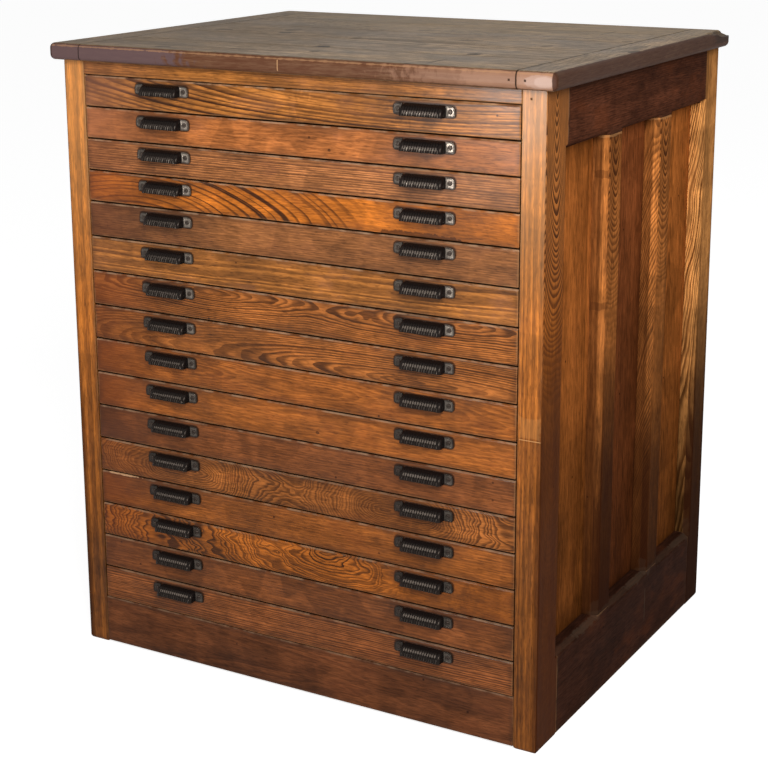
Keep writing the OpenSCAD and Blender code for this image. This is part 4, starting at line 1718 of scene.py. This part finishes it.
@dataclass
class DrawerStack:
    """The drawer fronts and their pulls, from the top down."""

    looks: tuple[DrawerLook, ...]
    pull: CupPull = field(default_factory=CupPull)
    side_t: float = 0.012
    arris: float = 0.0012
    top_round: float = 0.0035

    @staticmethod
    def drawer(number: int) -> str:
        """Returns the name of a drawer's body."""
        return f"drawer_{number:02d}"

    def pull_place(self, name: str) -> tuple[float, float]:
        """Returns how far a drawer's pulls lie from the middle, and their height."""
        low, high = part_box(f"{name}_pulls")
        return high.x - self.pull.hood_l / 2 - self.pull.ear_l, (low.z + high.z) / 2

    def front(self, number: int, look: DrawerLook) -> None:
        """Models and dresses a drawer front, rabbeted for the sides.

        Args:
            number: Number of the drawer.
            look: Its wood.
        """
        name = self.drawer(number)
        low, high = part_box(f"{name}_front")
        tray_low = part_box(f"{name}_tray")[0]
        shoulder = high.x - self.side_t
        front = Workpiece.block(f"{name}_face", low, Vector((high.x, tray_low.y, high.z)))
        with front.editing("FACE"):
            for x in (-shoulder, shoulder):
                bpy.ops.mesh.select_all(action="SELECT")
                bpy.ops.mesh.bisect(plane_co=(x, 0, 0), plane_no=(1, 0, 0))
            bpy.ops.mesh.select_all(action="DESELECT")
            front.pick_faces(lambda centre, normal: normal.y > 0.9 and abs(centre.x) < shoulder)
            bpy.ops.mesh.extrude_region_move(
                TRANSFORM_OT_translate={"value": (0, high.y - tray_low.y, 0)}
            )
        front.round_edges(
            lambda a, b: max(a.y, b.y) < low.y + NEAR_BY and min(a.z, b.z) > high.z - NEAR_BY,
            self.top_round, 4,
        )
        front.ease(self.arris, 3)
        material = look.own_finish().dress(
            name, low, high, Lay.ALONG_FRONT, replace(look.figure, seed=100.0 + number),
            look.scuffs(low.y, (low.z + high.z) / 2), self.pull_place(name),
        )
        front.set_out(material, name, "front_wood", f"{name}_front")

    def pulls(self) -> None:
        """Copies one modelled pull, and pairs of screws, to every drawer."""
        iron = IronFinish("black_iron").dress()
        steel = IronFinish("screw_iron", lacquer=paint(46, 38, 34)).dress()
        pattern = self.pull.shape()
        pairs = self.pull.screw_pairs(((0.3, 1.2), (0.9, -0.5), (-0.2, 0.6), (1.4, 0.1)))
        for number in range(1, len(self.looks) + 1):
            name = self.drawer(number)
            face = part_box(f"{name}_front")[0].y
            spread, height = self.pull_place(name)
            for side in Side:
                place = Vector((side.value * spread, face, height))
                end = side.name.lower()
                pull = pattern.copy(f"{name}_{end}_pull", place)
                pull.set_out(iron, name, "iron", f"{name}_pulls")
                pair = pairs[(2 * number + side.value) % len(pairs)]
                pair.copy(f"{name}_{end}_pull_screws", place).set_out(steel, name, "iron", f"{name}_pulls")
        for piece in (pattern, *pairs):
            piece.discard()

    def build(self) -> None:
        """Models and dresses every front and its pulls."""
        for number, look in enumerate(self.looks, 1):
            self.front(number, look)
        self.pulls()


@dataclass
class Inside:
    """What the drawers hide: trays, runners and the back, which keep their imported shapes."""

    def dress(self, node: str, finish: WoodFinish, lay: Lay, figure: Figure) -> None:
        """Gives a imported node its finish.

        Args:
            node: Name of the node.
            finish: Its finish.
            lay: How its grain runs.
            figure: Its growth rings.
        """
        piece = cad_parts[node]
        piece.data.materials.clear()
        piece.data.materials.append(finish.dress(node, *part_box(node), lay, figure))
        log.info("%s is dressed in %s", node, finish.name)

    def build(self, drawer_count: int) -> None:
        """Dresses the trays, the runners and the back.

        Args:
            drawer_count: Number of drawers.
        """
        plain = Figure(spacing=0.005, depth=0.07, across=0.05, tilt=0.02, wave=0.01, contrast=0.5)
        for number in range(1, drawer_count + 1):
            tray = f"{DrawerStack.drawer(number)}_tray"
            self.dress(tray, BARE, Lay.ALONG_DRAWER, replace(plain, seed=50.0 + number))
        self.dress("drawer_runners", BARE, Lay.ALONG_DRAWER, replace(plain, seed=71.0))
        self.dress("back_rails", BARE, Lay.ALONG_FRONT, replace(plain, seed=72.0))
        self.dress("back_boards", DARK_CHESTNUT, Lay.UPRIGHT_BACK, replace(plain, seed=73.0, depth=0.2))


@dataclass(frozen=True)
class Lamp:
    """A soft lamp.

    Attributes:
        name: Its name.
        place: Where it hangs.
        target: Point that it shines at.
        size: Width and height of its panel.
        power: Its power in watts.
    """

    name: str
    place: Triple
    target: Triple
    size: tuple[float, float]
    power: float

    def hang(self) -> None:
        """Hangs the lamp in the studio."""
        data = bpy.data.lights.new(self.name, "AREA")
        data.shape = "RECTANGLE"
        data.size, data.size_y = self.size
        data.energy = self.power
        lamp = bpy.data.objects.new(self.name, data)
        bpy.context.scene.collection.objects.link(lamp)
        lamp.location = self.place
        lamp.rotation_mode = "QUATERNION"
        lamp.rotation_quaternion = (Vector(self.target) - Vector(self.place)).to_track_quat("-Z", "Y")


@dataclass
class Studio:
    """A white floor, soft lamps and the camera."""

    lens: float = 82.736
    sensor: float = 36.0
    shift_y: float = -0.1094
    pitch: float = 1.32716
    heading: float = 0.52284
    roll: float = -0.00399
    eye: Triple = (1.54073, -2.72733, 1.40422)
    floor_size: float = 80.0
    floor_bounce: float = 0.8
    floor_seen: float = 0.6
    lift: float = 0.79
    world_light: float = 0.3
    lamps: tuple[Lamp, ...] = (
        Lamp("key", (1.9, -2.3, 2.3), (0.0, 0.0, 0.7), (1.5, 1.3), 98.0),
        Lamp("sheen", (-0.97, -3.4, 0.62), (0.44, -0.36, 1.06), (0.4, 0.3), 30.0),
    )

    def camera(self) -> None:
        """Sets up the camera at the photographer's place."""
        data = bpy.data.cameras.new("camera")
        data.lens = self.lens
        data.sensor_width = self.sensor
        data.shift_y = self.shift_y
        eye = bpy.data.objects.new("camera", data)
        bpy.context.scene.collection.objects.link(eye)
        turn = Matrix.Rotation(self.heading, 4, "Z") @ Matrix.Rotation(self.pitch, 4, "X")
        eye.matrix_world = Matrix.Translation(self.eye) @ turn @ Matrix.Rotation(self.roll, 4, "Z")
        bpy.context.scene.camera = eye

    def seen(self, graph: Graph) -> Socket:
        """Returns 1 for rays of the camera, of gloss and of glass."""
        rays = graph.node("ShaderNodeLightPath").outputs
        straight = graph.math("MAXIMUM", rays["Is Camera Ray"], rays["Is Glossy Ray"])
        return graph.math("MAXIMUM", straight, rays["Is Transmission Ray"])

    def floor(self) -> None:
        """Lays a white floor that keeps the cabinet's shadow."""
        Workpiece.clear_bench()
        bpy.ops.mesh.primitive_grid_add(x_subdivisions=4, y_subdivisions=4, size=self.floor_size)
        floor = Workpiece.take_new("floor").piece
        material = bpy.data.materials.new("white_floor")
        graph = Graph.blank(material)
        pale = graph.node("ShaderNodeBsdfDiffuse", {"Color": grey(self.floor_bounce)}).outputs[0]
        lit = graph.node("ShaderNodeBsdfDiffuse", {"Color": grey(self.floor_seen)}).outputs[0]
        glow = graph.node("ShaderNodeEmission", {"Strength": self.lift}).outputs[0]
        both = graph.node("ShaderNodeAddShader", {0: lit, 1: glow}).outputs[0]
        mixed = graph.node("ShaderNodeMixShader", {0: self.seen(graph), 1: pale, 2: both})
        graph.node("ShaderNodeOutputMaterial", {"Surface": mixed.outputs[0]})
        floor.data.materials.append(material)

    def world(self) -> None:
        """Sets an even light all round, seen as white."""
        world = bpy.data.worlds.new("studio")
        bpy.context.scene.world = world
        graph = Graph.blank(world)
        spare = 1.0 - self.world_light
        strength = graph.math("MULTIPLY_ADD", self.seen(graph), spare, self.world_light)
        glow = graph.node("ShaderNodeBackground", {"Color": WHITE, "Strength": strength})
        graph.node("ShaderNodeOutputWorld", {"Surface": glow.outputs[0]})

    def build(self) -> None:
        """Sets up the floor, the lamps and the camera."""
        self.camera()
        self.floor()
        self.world()
        for lamp in self.lamps:
            lamp.hang()
        bpy.context.scene.view_settings.view_transform = "Standard"


DRAWER_LOOKS = (
    DrawerLook(
        GOLDEN,
        Figure(
            spacing=0.0062, depth=0.045, across=0.065, tilt=-0.15, wave=0.01, pace=2.6, contrast=1.0,
            line=0.36,
        ),
        tone=1.1, left_stain=0.7,
        marks=((Mark.STAIN, 0.11, 0.0, 0.11, 0.06),),
    ),
    DrawerLook(
        ROSE,
        Figure(depth=0.10, across=0.06, tilt=0.01, wave=0.004, contrast=0.3, line=0.5),
        tone=1.05, left_stain=0.6, zones=0.14,
        marks=((Mark.KNOT, 0.077, -0.012, 0.003, 0.0026), (Mark.KNOT, 0.04, 0.006, 0.0024, 0.002)),
    ),
    DrawerLook(
        PLUM,
        Figure(depth=0.04, across=0.13, pace=2.0, contrast=0.85, line=0.42),
        tone=1.45, left_stain=0.5,
    ),
    DrawerLook(
        AMBER,
        Figure(
            spacing=0.0085, depth=0.126, across=-0.058, tilt=0.36, wave=0.012, pace=2.5, contrast=1.0,
            line=0.24, fade_at=0.11, fade_span=0.05,
        ),
        tone=1.1, left_stain=0.7,
        marks=((Mark.KNOT, 0.237, -0.0275, 0.08, 0.009),),
    ),
    DrawerLook(
        PLUM,
        Figure(spacing=0.003, depth=0.09, across=0.10, tilt=0.01, wave=0.004, contrast=0.4, line=0.5),
        tone=0.94, left_stain=0.6,
    ),
    DrawerLook(
        GOLDEN,
        Figure(spacing=0.010, depth=0.06, across=0.09, tilt=0.03, wave=0.016, contrast=0.7, line=0.5),
        tone=1.1, left_stain=0.25,
        marks=((Mark.KNOT, -0.108, 0.0147, 0.003, 0.002),),
    ),
    DrawerLook(
        RUSSET,
        Figure(
            spacing=0.0031, depth=0.028, across=0.02, tilt=0.0, wave=0.012, pace=5.0, contrast=0.9,
            line=0.42, bend=0.009, bend_at=0.07, bend_length=0.45, ripple=0.006,
        ),
        tone=1.1, left_stain=0.7,
    ),
    DrawerLook(
        RUSSET,
        Figure(
            spacing=0.0035, depth=0.031, across=-0.02, tilt=-0.08, wave=0.008, pace=4.0, contrast=0.85,
            line=0.42, ripple=0.004,
        ),
        tone=1.1, left_stain=0.5,
    ),
    DrawerLook(
        TAN,
        Figure(spacing=0.0035, depth=0.03, tilt=0.05, wave=0.014, pace=5.0, contrast=0.5, line=0.45),
        tone=1.15, left_stain=0.8, zones=0.1,
    ),
    DrawerLook(
        TAN,
        Figure(spacing=0.0035, depth=0.10, across=0.05, tilt=0.01, contrast=0.4, line=0.5),
        tone=1.18, left_stain=0.8,
        marks=((Mark.KNOT, 0.048, -0.011, 0.005, 0.003),),
    ),
    DrawerLook(
        UMBER,
        Figure(spacing=0.003, depth=0.10, across=0.08, tilt=0.01, wave=0.004, contrast=0.4, line=0.5),
        tone=1.2, left_stain=0.85, zones=0.12,
    ),
    DrawerLook(
        RUSSET,
        Figure(
            spacing=0.0036, depth=0.055, tilt=0.0, wave=0.02, pace=7.0, contrast=0.85, line=0.42, bend=0.045,
            bend_at=-0.02, bend_length=0.44, ripple=0.016,
        ),
        tone=1.16, left_stain=0.5,
        marks=((Mark.STAIN, 0.13, 0.0, 0.13, 0.08), (Mark.STAIN, 0.2, -0.01, 0.1, 0.03)),
    ),
    DrawerLook(
        TAN,
        Figure(
            spacing=0.003, depth=0.10, across=0.07, tilt=0.01, wave=0.005, pace=2.5, contrast=0.45, line=0.5,
        ),
        tone=1.08, left_stain=0.75, zones=0.1,
        marks=((Mark.CHIP, -0.362, 0.0295, 0.045, 0.0026),),
    ),
    DrawerLook(
        CINNAMON,
        Figure(
            spacing=0.0056, depth=-0.019, across=0.024, tilt=0.42, wave=0.03, pace=8.0, contrast=1.0,
            line=0.36, fade_at=0.18, fade_span=0.05, ripple=0.034,
        ),
        tone=1.4, left_stain=0.5,
        marks=((Mark.STAIN, 0.36, 0.0, 0.16, 0.08), (Mark.STAIN, 0.39, -0.01, 0.09, 0.05)),
    ),
    DrawerLook(
        UMBER,
        Figure(depth=0.10, across=0.08, tilt=0.01, wave=0.005, pace=2.5, contrast=0.45, line=0.5),
        tone=1.3, left_stain=0.5, zones=0.2,
    ),
    DrawerLook(
        UMBER,
        Figure(spacing=0.0035, depth=0.05, across=0.10, tilt=0.04, pace=2.0, contrast=0.9, line=0.42),
        tone=1.75, left_stain=0.0,
    ),
)


def main() -> None:
    """Builds the cabinet's sub-assemblies in order, and the studio round them."""
    logging.basicConfig(level=logging.INFO, format="%(name)s: %(message)s")
    Studio().build()
    SideFrame().build()
    FrontBoards().build()
    CabinetTop().build()
    DrawerStack(DRAWER_LOOKS).build()
    Inside().build(len(DRAWER_LOOKS))


if __name__ == "__main__":
    main()
